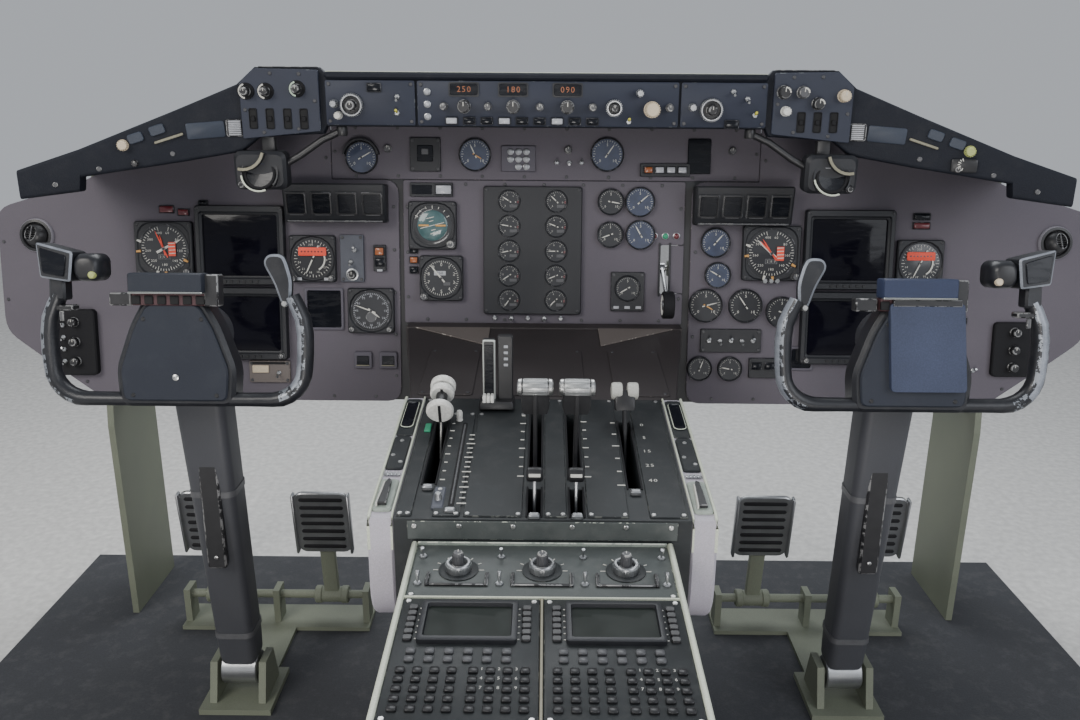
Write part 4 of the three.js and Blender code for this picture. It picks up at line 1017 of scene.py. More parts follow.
def centre_plate():
    piece = Piece("centre_plate", PANEL_PLACE)
    notched = [(-254, 140), (250, 140), (250, 196), (208, 196), (208, 284), (250, 284), (250, 396),
               (-254, 396)]
    piece.prism(soft_outline(notched, 5, 3), -4, 0, "panel", 0.9)
    piece.prism([(224, 197), (250, 197), (250, 283), (224, 283)], -4, 0, "panel", 0.9)
    # Lips of the gear handle's slot, the ears behind it and their pin
    for u in (205, 223.6):
        piece.block(u, u + 3.4, 192, 288, -4, 2.4, "black", 0.6)
    for u in (202, 226):
        piece.block(u, u + 4, 226, 254, -52, -4.2, "structure", 1)
    piece.spun([(5, -11), (5, 11)], "steel", shift(216, 240, -40) @ ACROSS, 16)
    edge_screws(piece, [(-254, 140), (250, 140), (250, 396), (-254, 396)], 7, 62,
                skip=((216, 240, 24, 60), (250, 240, 20, 44)))
    for dial in ((169, 360, 26, "blue_dial", 50), (171, 302, 26, "blue_dial", -30),
                 (117, 360, 23, "dial", 100), (117, 302, 23, "dial", -110)):
        small_dial(piece, *dial)
    # Display strip, lamps over the gear handle, flap position dial
    raised_plate(piece, -203, 379, 76, 24, 4, "black", 1.5, screws=False)
    piece.block(-238, -202, 371, 387, 4, 5.2, "window", 0.4)
    lamp(piece, 27, 15, shift(-181, 379, 4), "lamp_white")
    for u, kind in ((196, "lamp_red"), (216, "green"), (236, "lamp_red")):
        round_lamp(piece, 5, shift(u, 300), kind)
    raised_plate(piece, 150, 200, 60, 70, 5, "black")
    small_dial(piece, 150, 206, 23, "dial", -120)
    for u in (130, 150, 170):
        piece.block(u - 5, u + 5, 169, 174, 5, 6.6, "lamp_white", 0.4)
    for i in range(4):
        lamp(piece, 13, 10, shift(-236, 290 - 18 * i), "window" if i % 2 else "lamp_amber")
    toggle_row(piece, -90, 150, 5, 30, tall=12)
    piece.done("panel_paint", "centre_panel")


def upper_plate():
    piece = Piece("upper_centre_plate", PANEL_PLACE)
    outline = [(-380, 397), (380, 397), (380, 492), (-380, 492)]
    piece.prism(soft_outline(outline, 2, 2), -4, 0, "panel", 0.9)
    # Dark strip behind the seams round this plate: painted shade that keeps the gaps dark
    piece.block(-392, 392, 387, 408, -7.4, -4.2, "black", 0.4)
    for side in (-1, 1):
        piece.block(side * 372, side * 390, 404, 482, -7.4, -4.2, "black", 0.4)
    edge_screws(piece, outline, 6, 70)
    small_dial(piece, -326, 434, 28, "blue_dial", 60)
    # Half hood over the left dial
    piece.sweep([(*clockwise(31, turn), 0) for turn in range(-80, 81, 16)], bar_flat(1.6, 0.2, 17), "black",
                shift(-326, 434))
    raised_plate(piece, -213, 440, 54, 58, 6, "black")
    piece.block(-227, -199, 428, 456, 6, 8.4, "window", 1.2)
    piece.block(-219, -207, 440, 450, 8.4, 9.4, "knob_grey", 0.6)
    small_dial(piece, -125, 440, 28, "blue_dial", -25, 120)
    small_dial(piece, 109, 442, 29, "blue_dial", 35)
    raised_plate(piece, -48, 434, 60, 44, 5, "panel_dark", screws=False)
    # Cluster of round white lamps
    for u, v in ((-62, 446), (-48, 446), (-34, 446), (-62, 433), (-48, 433), (-34, 433), (-48, 420),
                 (-34, 420)):
        round_lamp(piece, 4.4, shift(u, v, 5), "lamp_white")
    raised_plate(piece, 212, 416, 88, 22, 6, "black", 1.5, screws=False)
    for i, kind in enumerate(["lamp_amber"] + ["lamp_white"] * 3):
        lamp(piece, 14, 10, shift(182 + 20 * i, 416, 6), kind)
    raised_plate(piece, 272, 440, 40, 60, 5, "window", 2, screws=False)
    toggle_row(piece, 20, 428, 3, 22, tall=12)
    for u in (-280, 40, 330):
        knob(piece, 7, 10, shift(u, 450), "knob_grey")
    piece.done("panel_paint", "upper_centre_panel")


def annunciator_hood(side_name, u, half):
    """A slanted hood with four framed, dark windows and a finger shelf under them."""
    piece = Piece(f"annunciator_hood_windows_{side_name}", PANEL_PLACE)
    profile = [(0.3, 320), (24, 320.5), (27, 323), (43.5, 385), (42, 388), (0.3, 388)]
    rings = []
    for x, inset in ((-half, 3), (3 - half, 0), (half - 3, 0), (half, 3)):
        rings.append([(u + x, v, w) for w, v in (offset_outline(profile, inset) if inset else profile)])
    piece.loops(rings, "black")
    slope = shift(u, 354, 35.6) @ turned("X", 14.9)
    for i in range(4):
        at = slope @ shift((i - 1.5) * (2 * half - 46) / 3, -1)
        piece.stack([
            (37, 42, 3, -3), (37, 42, 3, 1.6), (35, 40, 3, 2.4), (31, 35, 2, 2.4), (30, 34, 2, 0.2),
            (24, 28, 2, 0.25),
        ], ["black", "black", "knob", "knob", "window"], at)
        piece.block(-12, 12, -20.4, -19.4, 2.4, 3.0, "knob_grey", 0, at)
    piece.block(u - half + 6, u + half - 6, 321, 324, 27, 30, "knob_grey", 0.6)
    piece.done("hood_vinyl", f"annunciator_hood_{side_name}")


def air_outlet(side_name, side):
    """An eyeball outlet: a stepped ring, a ball turned aside and its nozzle with thin vanes."""
    piece = Piece(f"air_outlet_eyeball_{side_name}", PANEL_PLACE @ shift(side * 914, 293))
    piece.spun([
        (25, -59), (25, 0.3), (30, 0.3), (30, 5), (28.5, 7.6), (24, 8.3), (22.6, 6.5), (22.2, 3.0),
    ], ["case"] * 2 + ["lobe_shade"] * 2 + ["knob"] * 3, sides=36)
    ball = turned("Y", 24 * side) @ turned("X", -16)
    piece.spun([(21.8, -2), (21.4, 4), (19.2, 10), (16.4, 14), (14.6, 15.4), (13, 15.2), (12.6, 11),
                (3, 10.8)],
               ["knob"] * 6 + ["slot_dark"], ball, 32)
    for i in range(5):
        piece.block(-12.2, 12.2, -8.4 + 4 * i, -7.6 + 4 * i, 11, 14.6, "knob", 0.2, ball)
    piece.block(-1.2, 1.2, -13, 13, 13.2, 15.4, "knob_grey", 0.3, ball)
    piece.done("instrument_black", f"air_outlet_{side_name}")


def gear_handle():
    """The landing gear handle: a bar with a wheel shaped knob."""
    reach, rise = 58, 102
    arm = math.hypot(reach, rise)
    place = PANEL_PLACE @ leaning(216, 240, -40, math.degrees(math.atan2(reach, rise)))
    piece = Piece("gear_handle_wheel", place, "gear")
    piece.stack([(5, 14, 1.4, 8), (5, 14, 1.4, arm - 14)], "metal")
    piece.spun(both_ways((5.4, 5), (10, 5)), "metal", ACROSS)
    piece.spun(both_ways((8, 10), (9, 8.6), (17, 8.6), (18, 10), (22, 10), (24, 8)),
               ["metal"] + ["white"] * 2 + ["rubber"] * 5 + ["white"] * 2 + ["metal"],
               shift(0, 0, arm) @ ACROSS, 28)
    piece.done("white_knob", "gear_handle")


left_plate()
right_plate()
centre_plate()
upper_plate()
annunciator_hood("left", -370, 90)
annunciator_hood("right", 349, 86)
for side_name, side in SIDES:
    air_outlet(side_name, side)
gear_handle()


# Glareshield: hood, its panels, lamps on the wings and map lights

# columns: x, face y, top z, lip bottom z, back y, back top z
HOOD_STATIONS = (
    (0, 336, 1052, 967, 600, 1010), (352, 336, 1052, 967, 600, 1008), (358, 336, 1059, 955, 600, 1008),
    (462, 336, 1059, 950, 596, 1004), (493, 336, 1032, 926, 590, 1000), (584, 304, 992, 911, 580, 975),
    (728, 269, 933, 890, 568, 918), (731, 268, 932, 868, 568, 917), (815, 247, 903, 858, 562, 888),
)
# The wing's face starts at the fifth station
WING_STATIONS = HOOD_STATIONS[4:]
HOOD_SKIN, HOOD_LIP = 14, 22


def hood_ring(station, side):
    x, face, top, bottom, back, back_top = station
    slope = (back_top - top) / (back - face)
    inner = top - HOOD_SKIN + slope * HOOD_LIP
    flat = soft_outline([
        (face, bottom), (face, top), (back, back_top), (back, back_top - HOOD_SKIN),
        (face + HOOD_LIP, inner), (face + HOOD_LIP, bottom),
    ], 6, 3)
    return [(side * x, y, z) for y, z in flat]


def wing_place(x, side, z, turn=0.0):
    """A place on the wing's face, with local x along it and local z out of it."""
    low, high = next((a, b) for a, b in zip(WING_STATIONS, WING_STATIONS[1:]) if x <= b[0])
    y = low[1] + (high[1] - low[1]) * (x - low[0]) / (high[0] - low[0])
    swing = -side * math.degrees(math.atan2(low[1] - high[1], high[0] - low[0]))
    return moved(side * x, y, z) @ turned("Z", swing) @ turned("X", 90) @ shift(0, 0, 0, -side * turn)


def glareshield():
    piece = Piece("glareshield_hood_shell")
    rings = [hood_ring(station, -1) for station in HOOD_STATIONS[:0:-1]]
    rings += [hood_ring(station, 1) for station in HOOD_STATIONS]
    piece.loops(rings, "hood")
    # Pale strip along the top front edge of the middle part, a painted highlight
    piece.block(-350, 350, 337, 343, 1050.2, 1052.6, "trim", 0.6)
    for side in (-1, 1):
        piece.block(side * 362, side * 456, 337, 341, 1057.6, 1059, "knob_grey", 0.4)
        # Square lamp, long plate, two short plates over a pale ledge, and a round knob on the wing
        grille = wing_place(500, side, 964)
        piece.stack([(26, 27, 3, -2), (26, 27, 3, 2.4), (24, 25, 3, 3.2)], "knob", grille)
        piece.grid(SLAT, 1, 8, 0, 21, "lamp_white", grille @ shift(0, 0, 3.0))
        piece.stack([(58, 25, 3, -1), (58, 25, 3, 1.6), (56, 23, 3, 2.4)], "plate_blue",
                    wing_place(542, side, 961, 4))
        for x, z in ((611, 962), (643, 950)):
            piece.stack([(24, 15, 4, -1), (24, 15, 4, 2.4), (22, 13, 3, 3.4)], "plate_blue",
                        wing_place(x, side, z, 18), 4)
        piece.stack([(46, 4, 1.2, -1), (46, 4, 1.2, 4), (44, 2.6, 1, 5)], "trim_dull",
                    wing_place(595, side, 949, 17.6), 2)
        knob(piece, 8.8, 10, wing_place(662, side, 939), "knob_cream" if side < 0 else "knob_lime",
             line=False)
        knob(piece, 5.5, 7, wing_place(648, side, 911))
        if side > 0:
            piece.stack([(38, 20, 3, -2), (38, 20, 3, 5), (35, 17, 3, 6)], "knob",
                        wing_place(656, side, 917))
            piece.marks("mark", wing_place(656, side, 919) @ shift(0, 0, 6), 7, 10, (3.0, 1.4, 0.6), 200,
                        23, 2, 1.4)
        for x, z in ((592, 925), (700, 903), (764, 880)):
            piece.spun([(4, -1), (4, 1), (3, 1.8)], "knob_grey", wing_place(x, side, z), 12)
    piece.done("hood_vinyl", "glareshield_hood")


def ringed_knob(piece, x, y, radius, at=NO_TURN, ring="metal", core="knob"):
    """A broad ring with a smaller knob standing in it."""
    place = at @ shift(x, y)
    piece.spun([
        (radius, 0), (radius, 8), (radius - 1.2, 10), (radius - 3.4, 10), (radius - 4.6, 7.6),
        (radius - 4.8, 5), (radius * 0.3, 5),
    ], [ring] * 5 + [core], place, 28)
    piece.marks(ring, place @ shift(0, 0, 4.4), int(radius * 2), radius + 0.5, (1.6, 1.1, 7.0))
    knob(piece, radius * 0.5, 17, place @ shift(0, 0, 5), core)


def guidance_panel():
    """The autopilot panel: three plates, knobs, windows with counters and a row of keys."""
    piece = Piece("flight_guidance_face", FACE_PLACE)
    low, high = 8.3, 10.3
    # columns: x0, x1, thickness
    for x0, x1, thick in ((-350, -208, low), (-204, 210, high), (214, 350, low)):
        wide = x1 - x0
        piece.stack([(wide, 69, 3, 0.3), (wide, 69, 3, thick - 1), (wide - 2, 67, 3, thick)], "guidance",
                    shift((x0 + x1) / 2, 1004.5))
        piece.scatter(SCREW, [(x, z, thick) for x in (x0 + 6, x1 - 6) for z in (976, 1033)], "screw", 11)
    piece.block(-350, 350, 968, 1051, 0.3, 3, "hood", 0.4)
    # The hood's rolled edge hangs over the plates
    piece.block(-350, 350, 1040, 1051.6, 0.3, 13, "hood", 4)
    side_top, mid_top = shift(0, 0, low), shift(0, 0, high)
    ringed_knob(piece, -308, 1001, 18, side_top)
    ringed_knob(piece, 262, 997, 18, side_top)
    ringed_knob(piece, 108, 999, 13, mid_top)
    knob(piece, 13, 20, mid_top @ shift(168, 997), "knob_cream", line=False)
    for x, z, kind in ((-336, 1003, "metal"), (-330, 985, "mark"), (232, 1001, "metal"),
                       (148, 1022, "metal")):
        knob(piece, 6.5, 15, side_top @ shift(x, z), kind, line=False)
    # columns: x, z, finish of the toggle
    for x, z, kind in ((-236, 1014, "metal"), (-237, 989, "yellow"), (319, 1014, "metal"),
                       (332, 989, "yellow"), (132, 978, "yellow"), (296, 1025, "metal")):
        toggle(piece, side_top @ shift(x, z), 20 if z > 1000 else -20, kind)
    for z in (1022, 1003, 984):
        round_lamp(piece, 4.2, mid_top @ shift(-188, z), "lamp_white")
    # columns: x, counter digits
    for x, counter in ((-130, "250"), (-52, "180"), (34, "090")):
        at = mid_top @ shift(x, 1026)
        piece.stack([(48, 22, 2, 0), (48, 22, 2, 1.6), (44, 18, 2, 2), (43, 17, 2, 0.6), (30, 8, 2, 0.6)],
                    ["black"] * 3 + ["window"], at, 2)
        piece.digits(counter, 13, 0, 0, 0.9, "lamp_amber", at)
        knob(piece, 11, 18, mid_top @ shift(x, 1000))
    for x in (-162, -92, -10, 74, 196):
        knob(piece, 6.5, 14, mid_top @ shift(x, 1000), "knob_grey")
    for i in range(9):
        lamp(piece, 17, 9, mid_top @ shift(-150 + 28 * i, 978), "window" if i % 3 else "lamp_white")
    lamp(piece, 20, 11, side_top @ shift(-272, 1028), "window")
    lamp(piece, 20, 11, side_top @ shift(296, 975), "window")
    piece.done("instrument_black", "flight_guidance_panel")


def lighting_panel(side_name, side):
    """A box end of the glareshield: round switches with painted glints on their rims, over a row of slots.
    """
    piece = Piece(f"lighting_panel_face_{side_name}", FACE_PLACE)
    outline = [(360, 1054), (360, 960), (486, 947), (486, 1033), (461, 1056)]
    outline = outline if side > 0 else mirrored(outline)
    piece.prism(soft_outline(outline, 4, 3), 0.3, 8.3, "guidance", 0.9)
    top = shift(0, 0, 8.3)
    edge_screws(piece, outline, 7, 44, 8.4)
    if side < 0:
        slots = (-467, -440, -412, -386)
        # Arcs of pale bars round these knobs are painted glints on their rims
        for x, z, rim in ((-475, 1021, "mark"), (-444, 1021, "mark"), (-394, 1025, "green_pale")):
            at = top @ shift(x, z)
            piece.spun([(13, 0), (13, 2), (12, 3), (11, 2.4)], "rubber", at)
            piece.marks(rim, at @ shift(0, 0, 2.6), 9, 12, (2.6, 3.2, 1.4), 200, 17)
            knob(piece, 8, 14, at @ shift(0, 0, 2))
    else:
        slots = (406, 432, 458)
        for x, z, radius, kind in ((375, 1025, 11, "knob"), (405, 1025, 10, "knob_grey"),
                                   (430, 1008, 10, "knob"), (380, 996, 8, "white"),
                                   (470, 1020, 10, "knob_cream")):
            knob(piece, radius, 15, top @ shift(x, z), kind, line=kind != "white")
            # Small pale bars on top of the dark knobs are painted glints
            if kind in ("knob", "knob_grey"):
                piece.marks("mark", top @ shift(x, z, 15.2), 4, radius * 0.8, (2.4, 2.6, 0.8), 10, 24)
    for x in slots:
        piece.stack([(13, 32, 2, 0), (13, 32, 2, 1.6), (11, 30, 2, 2.0), (10, 29, 2, 0.6), (5, 20, 2, 0.4)],
                    ["rubber"] * 3 + ["slot_dark"], top @ shift(x, 979))
        piece.block(x - 3.4, x + 3.4, 975, 983, 8.8, 11.6, "rubber", 0.8)
    piece.done("instrument_black", f"lighting_panel_{side_name}")


def map_light(side_name, side):
    """A lamp under the glareshield: box, bracket, arm, lens and a curved visor with a bright lip, which is
    a painted highlight.
    """
    piece = Piece(f"map_light_lamp_{side_name}")
    x = side * 460
    piece.stack([(72, 50, 11, -18), (84, 61, 11, -14), (84, 61, 11, 12), (74, 51, 11, 17.8)], "black",
                leaning(x, 334, 898, 90), 5)
    piece.stack([(22, 14, 3, 0), (22, 14, 3, 28)], "knob", moved(side * 450, 347, 921))
    lens = leaning(x, 319, 892, 72)
    piece.spun([(26, -4), (26, 5), (24.4, 6.6), (21.6, 6.6), (21, 4), (8, 3.0)],
               ["rubber"] * 3 + ["slot_dark", "window"], lens, 28)
    # Visor round the lens with a bright lip along its lower edge, and a brow over it, turned outboard. Both
    # lips are painted highlights.
    brow = leaning(side * 484, 318, 933, 84)
    outboard = range(192, 284, 13) if side > 0 else range(257, 349, 13)
    # columns: place, radius, angles from the right side, half thickness, z from, z to, finish
    for at, radius, angles, half, low, high, kind in (
            (lens, 29, range(-40, 221, 13), 1.3, -4, 7, "black"),
            (lens, 29, range(188, 305, 13), 1.3, 6, 9, "trim"),
            (brow, 34, outboard, 2.2, -6, 8, "black"), (brow, 33.4, outboard, 2.2, 8, 10.5, "trim_dull")):
        piece.sweep([(*clockwise(radius, 90 - turn), 0) for turn in angles], bar_flat(half, low, high),
                    kind, at)
    piece.block(-12, 9, 14, 19, 5, 8, "lamp_white" if side > 0 else "clip", 1, lens)
    knob(piece, 6, 8, leaning(x + side * 30, 317, 876, 90), line=False)
    arm = [(side * 330, 346, 960), (side * 362, 344, 946), (side * 400, 340, 920), (side * 426, 338, 906)]
    piece.sweep(arm, round_flat(6, 6, 10), "knob")
    for joint in (arm[0], arm[-1]):
        piece.spun(both_ways((8, 8), (9, 6)), "knob", moved(*joint), 16)
    piece.done("instrument_black", f"map_light_{side_name}")


# Control columns, wheels and pedals

COLUMN_X = abs(sum(corner.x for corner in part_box("control_floor_fitting_right"))) / 2 / MM
# Outlines on the wheel, x outboard and y up from the hub's centre
HEAD = ((181, 134), (131, 121), (136, 80), (177, 86))
HEAD_FACE = ((175, 127), (139, 116), (143, 87), (172, 92))
HEAD_NECK = ((149, 54), (172, 54), (171, 88), (149, 84))
LEAF = ((161, 52), (163, 84), (156, 110), (150, 120), (130, 120), (123, 108), (138, 80), (148, 50))
CARD = ((-42, 60), (60, 60), (70, -62), (-34, -62))
HUB = [(-80, -93), (80, -93), (84, -40), (62, 22), (40, 60), (-40, 60), (-62, 22), (-84, -40)]
# One arm: x, y, half width in the wheel's plane, from the hub's side round the corner and up the grip
BAR_Y, HORN_X, HORN_Z, BEND = -84, 177, 8, 46
HORN = (
    [(60, BAR_Y, 10), (100, BAR_Y, 10), (131, BAR_Y, 10.5)]
    + [(131 + BEND * math.sin(turn), BAR_Y + BEND - BEND * math.cos(turn), 11.6)
       for turn in (math.radians(15 * i) for i in range(1, 7))]
    + [(HORN_X + 1.4, -18, 11.8), (HORN_X + 1.8, 8, 11.8), (HORN_X - 1, 30, 11.5), (HORN_X - 8, 47, 11),
       (HORN_X - 15, 62, 10)])


def slab_with_bright_edge(piece, points, z0, z1, kind, bevel, radius):
    """A slab whose front edge is rubbed bright, partly a painted highlight."""
    outline = soft_outline(points, radius)
    faces = piece.prism(outline, z0, z1, kind, bevel)
    piece.coat(faces[2 * len(outline):3 * len(outline)], "wheel_worn_and_highlight", 1.0)


def horn(piece, way, side):
    """One arm of the wheel, with a silver strip along the front of the grip, in ragged margins: partly the
    finish rubbed off, partly a painted highlight.
    """
    sections = [round_flat(wide, 13) for _, _, wide in HORN]
    faces = piece.sweep([(way * x, y, HORN_Z) for x, y, _ in HORN], sections, "wheel")
    count = len(sections[0])
    first = 1 if way > 0 and side > 0 else 3 if way > 0 else 4
    for ring in range(3, len(HORN) - 1):
        row = faces[ring * count:(ring + 1) * count]
        piece.coat(row[first + 1:first + 3], "wheel_worn_and_highlight" if ring > 4 else "wheel", 1.0)
        piece.coat([row[first], row[first + 3]], "wheel", 1.0)


def control_wheel(side_name, side):
    """Wheel with a box head and trim switch on the outboard arm, a leaf on the other, and a chart clip."""
    piece = Piece(f"control_wheel_rim_{side_name}", leaning(side * COLUMN_X, WHEEL_Y, WHEEL_Z, WHEEL_LEAN),
                  f"{side_name}_wheel")

    def out(points, way=side):
        return [(way * x, y) for x, y in points][::way]

    horn(piece, 1, side)
    horn(piece, -1, side)
    slab_with_bright_edge(piece, out(LEAF, -side), 0.4, 16, "wheel", 3.4, 9)
    # Head on the outboard arm: frame with a bright worn edge that is partly a painted highlight, glossy
    # dark face, barrel switch with its pale button
    slab_with_bright_edge(piece, out(HEAD), -12, 31, "wheel", 2.6, 4)
    piece.prism(soft_outline(out(HEAD_FACE), 3, 2), 30, 33, "window", 0.8)
    piece.prism(soft_outline(out(HEAD_NECK), 4, 2), -4, 20, "wheel", 3)
    piece.stepped(34, 34, [(0, 10, -10), (4, 12, -7), (4, 12, 18), (0, 12, 25), (-8, 10, 30), (-14, 8, 31)],
                  ["wheel"] * 4 + ["knob"], shift(side * 115, 100), 6)
    piece.spun([(5.4, 26), (5.4, 30.4), (4.2, 32), (2, 32.4)], "knob_lime" if side < 0 else "knob_cream",
               shift(side * 106, 90), 16)
    piece.block(side * 140, side * 174, 40, 48, -2, 18, "knob", 2)
    piece.block(side * 151, side * 157, 26, 40, 19, 23, "knob_grey", 1.2)
    # Bright catch where the leaf meets the grip
    piece.spun([(4.2, 8), (4.6, 18), (3.4, 20)], "steel", shift(-side * 153, 52), 12)
    # Hub with its cover
    piece.prism(soft_outline(HUB, 14), -19.6, 21, "wheel", 5)
    piece.prism(soft_outline(offset_outline(HUB, 9), 10), 18, 26, "cover", 2)
    piece.spun([(4.4, 25), (4.4, 27.2), (2.4, 28)], "steel", shift(2, -51), 14)
    piece.scatter(SCREW, [(-58, -76, 25.8), (58, -76, 25.8), (-40, 30, 25.8), (40, 30, 25.8)], "knob", 4)
    # Chart clip over a toothed shelf
    piece.stack([(103, 27, 3, 14), (103, 27, 3, 37), (99, 23, 3, 40)], "cover" if side < 0 else "clip",
                shift(-3, 80))
    piece.block(-53, 47, 65.6, 68, 30, 40.6, "metal_worn", 0.6)
    piece.block(-53, 47, 49, 66, 8, 29, "shelf_red", 1)
    for i in range(6):
        piece.block(-53 + 17.6 * i, -41 + 17.6 * i, 50.4, 62.4, 25, 31, "slot_dark", 1)
    piece.block(-86, -56, 48, 66, 6, 26, "knob", 2)
    piece.block(46, 66, 48, 92, 6, 30, "knob", 2)
    if side > 0:
        piece.prism(soft_outline(CARD, 6, 3), 26, 35, "card", 0.6)
        piece.block(-38, 56, 56, 65, 31, 36, "knob", 1)
    piece.done("wheel_black", f"control_wheel_{side_name}")


def column_ring(x, z, y0, y1, half):
    outline = rounded_loop(2 * half, y1 - y0, 14, 0, 5)
    return [(x + across, (y0 + y1) / 2 + along, z) for across, along, _ in outline]


def control_column(side_name, side):
    """Column post with its head behind the wheel, cable cover and foot on the pivot pin."""
    x = side * COLUMN_X
    piece = Piece(f"control_column_post_{side_name}", body=f"{side_name}_column")
    # columns: z, y0, y1, half width
    post = ((96, 144, 196, 29), (104, 143, 198, 31), (135, 138, 200, 31), (630, 84, 148, 38),
            (672, 86, 146, 36), (684, 92, 140, 30))
    piece.loops([column_ring(x, *ring) for ring in post], "column")
    # Bands round the post, whose front and back lean in by these much a millimetre
    for z, grow in ((150, 0), (420, 3.4), (600, 6.6)):
        y0, y1 = 138 - 0.109 * (z - 135), 200 - 0.105 * (z - 135)
        piece.loops([column_ring(x, level, y0 - 1.6, y1 + 1.6, 32.6 + grow) for level in (z, z + 10)],
                    "knob_grey")
    piece.spun(both_ways((10.7, 30), (26, 30), (28, 28)), "metal", moved(x, 170, 75) @ ACROSS, 32)
    piece.spun([
        (40, -101), (44, -97), (44, -60), (42, -58), (42, -50), (44, -48), (44, -29), (40, -25.2),
        (24, -25.2), (14, -24), (14, -2),
    ], ["column"] * 3 + ["knob"] + ["column"] * 3 + ["knob"] + ["metal"] * 2,
        leaning(x, WHEEL_Y, WHEEL_Z, WHEEL_LEAN), 36)
    piece.block(x - 15, x + 15, 101, 113, 300, 560, "knob", 3)
    for z in (320, 540):
        piece.spun([(3.4, -0.4), (3.4, 0.7), (2.6, 1.3)], "steel", leaning(x, 101, z, 90), 12)
    piece.done("structure_paint", f"control_column_{side_name}")


def rudder_pedal(side_name, hand, x, body):
    """A pedal: ribbed pad on a webbed arm that hangs on the shaft."""
    piece = Piece(f"rudder_pedal_pad_{side_name}_{hand}", leaning(x, 395, 80, 8), body)
    piece.spun(both_ways((8.8, 32), (15, 32), (17, 30), (17, 20), (15, 18)), "structure", ACROSS)
    piece.stack([(28, 16, 3, 12), (28, 16, 3, 110), (24, 14, 3, 196)], "structure")
    pad = leaning(0, -6, 175, 90)
    piece.stack([(48, 100, 6, -12), (48, 100, 6, 1)], "structure", pad)
    piece.stepped(96, 126, [(0, 14, 0), (4, 16, 1.6), (4, 16, 7), (0, 14, 8.6)], "metal", pad, 5)
    for i in range(7):
        piece.stack([(80, 7, 2.4, 8.4), (80, 7, 2.4, 10), (78, 5, 2, 10.8)], "rubber",
                    pad @ shift(0, -51 + 17 * i), 2)
    for side in (-1, 1):
        piece.stack([(5, 128, 2, 2), (5, 128, 2, 15), (3, 124, 1, 16.4)], "metal",
                    pad @ shift(side * 50.4, 0), 2)
    piece.done("bare_metal", f"rudder_pedal_{side_name}_{hand}")


glareshield()
guidance_panel()
for side_name, side in SIDES:
    lighting_panel(side_name, side)
    map_light(side_name, side)
    control_wheel(side_name, side)
    control_column(side_name, side)
    for hand, way in SIDES:
        nearer = "inner" if way * side < 0 else "outer"
        rudder_pedal(side_name, hand, side * COLUMN_X + way * 105, f"{side_name}_{nearer}_pedal")


# Centre pedestal

LEVER_SHAFT = (-70, 402)
FUEL_SHAFT = (-196, 500)
SLOT_HALF = 7.5
# The thrust and fuel levers stand either side of one line
PAIR_X, PAIR_APART = 15, 25
PAIR = (PAIR_X - PAIR_APART, PAIR_X + PAIR_APART)
SPEED_BRAKE_X, FLAP_X = -140, 112
# columns: x, aft end y, forward end y, floor z
SLOTS = (
    (SPEED_BRAKE_X, -155.9, 15.9, 384), (PAIR[0], -141.7, 39.9, 384), (PAIR[1], -141.7, 39.9, 384),
    (FLAP_X, -163.6, 16.1, 384), (PAIR[0], -227.4, -167.0, 484), (PAIR[1], -227.4, -167.0, 484),
)


def quadrant_top(y):
    return QUAD_AFT_Z + (QUAD_FRONT_Z - QUAD_AFT_Z) * (y - QUAD_AFT) / (QUAD_FRONT - QUAD_AFT)


def on_quadrant(x, y, rise):
    """A place on the sloping top of the quadrant, lifted by rise."""
    return leaning(x, y, quadrant_top(y) + rise, QUAD_SLOPE)


def top_plate(piece, x0, x1, y0, y1, thick, kind, radius=2.0):
    """A thin plate on the sloping top of the quadrant."""
    at = on_quadrant((x0 + x1) / 2, (y0 + y1) / 2, 0)
    wide, tall = abs(x1 - x0), y1 - y0
    piece.stack([(wide, tall, radius, 0), (wide, tall, radius, thick * 0.6),
                 (wide - thick * 0.7, tall - thick * 0.7, radius, thick)], kind, at)
    return at


def quadrant_block(piece, x0, x1, y0, y1, kind="pedestal_dark", top=None):
    """A part of the lever box between two x and two y, up to its sloping top or to a level."""
    bottom = 380
    profile = [(y0, bottom), (y1, bottom), (y1, top or quadrant_top(y1)), (y0, top or quadrant_top(y0))]
    piece.prism(profile, x0, x1, kind, 0, SIDEWAYS)


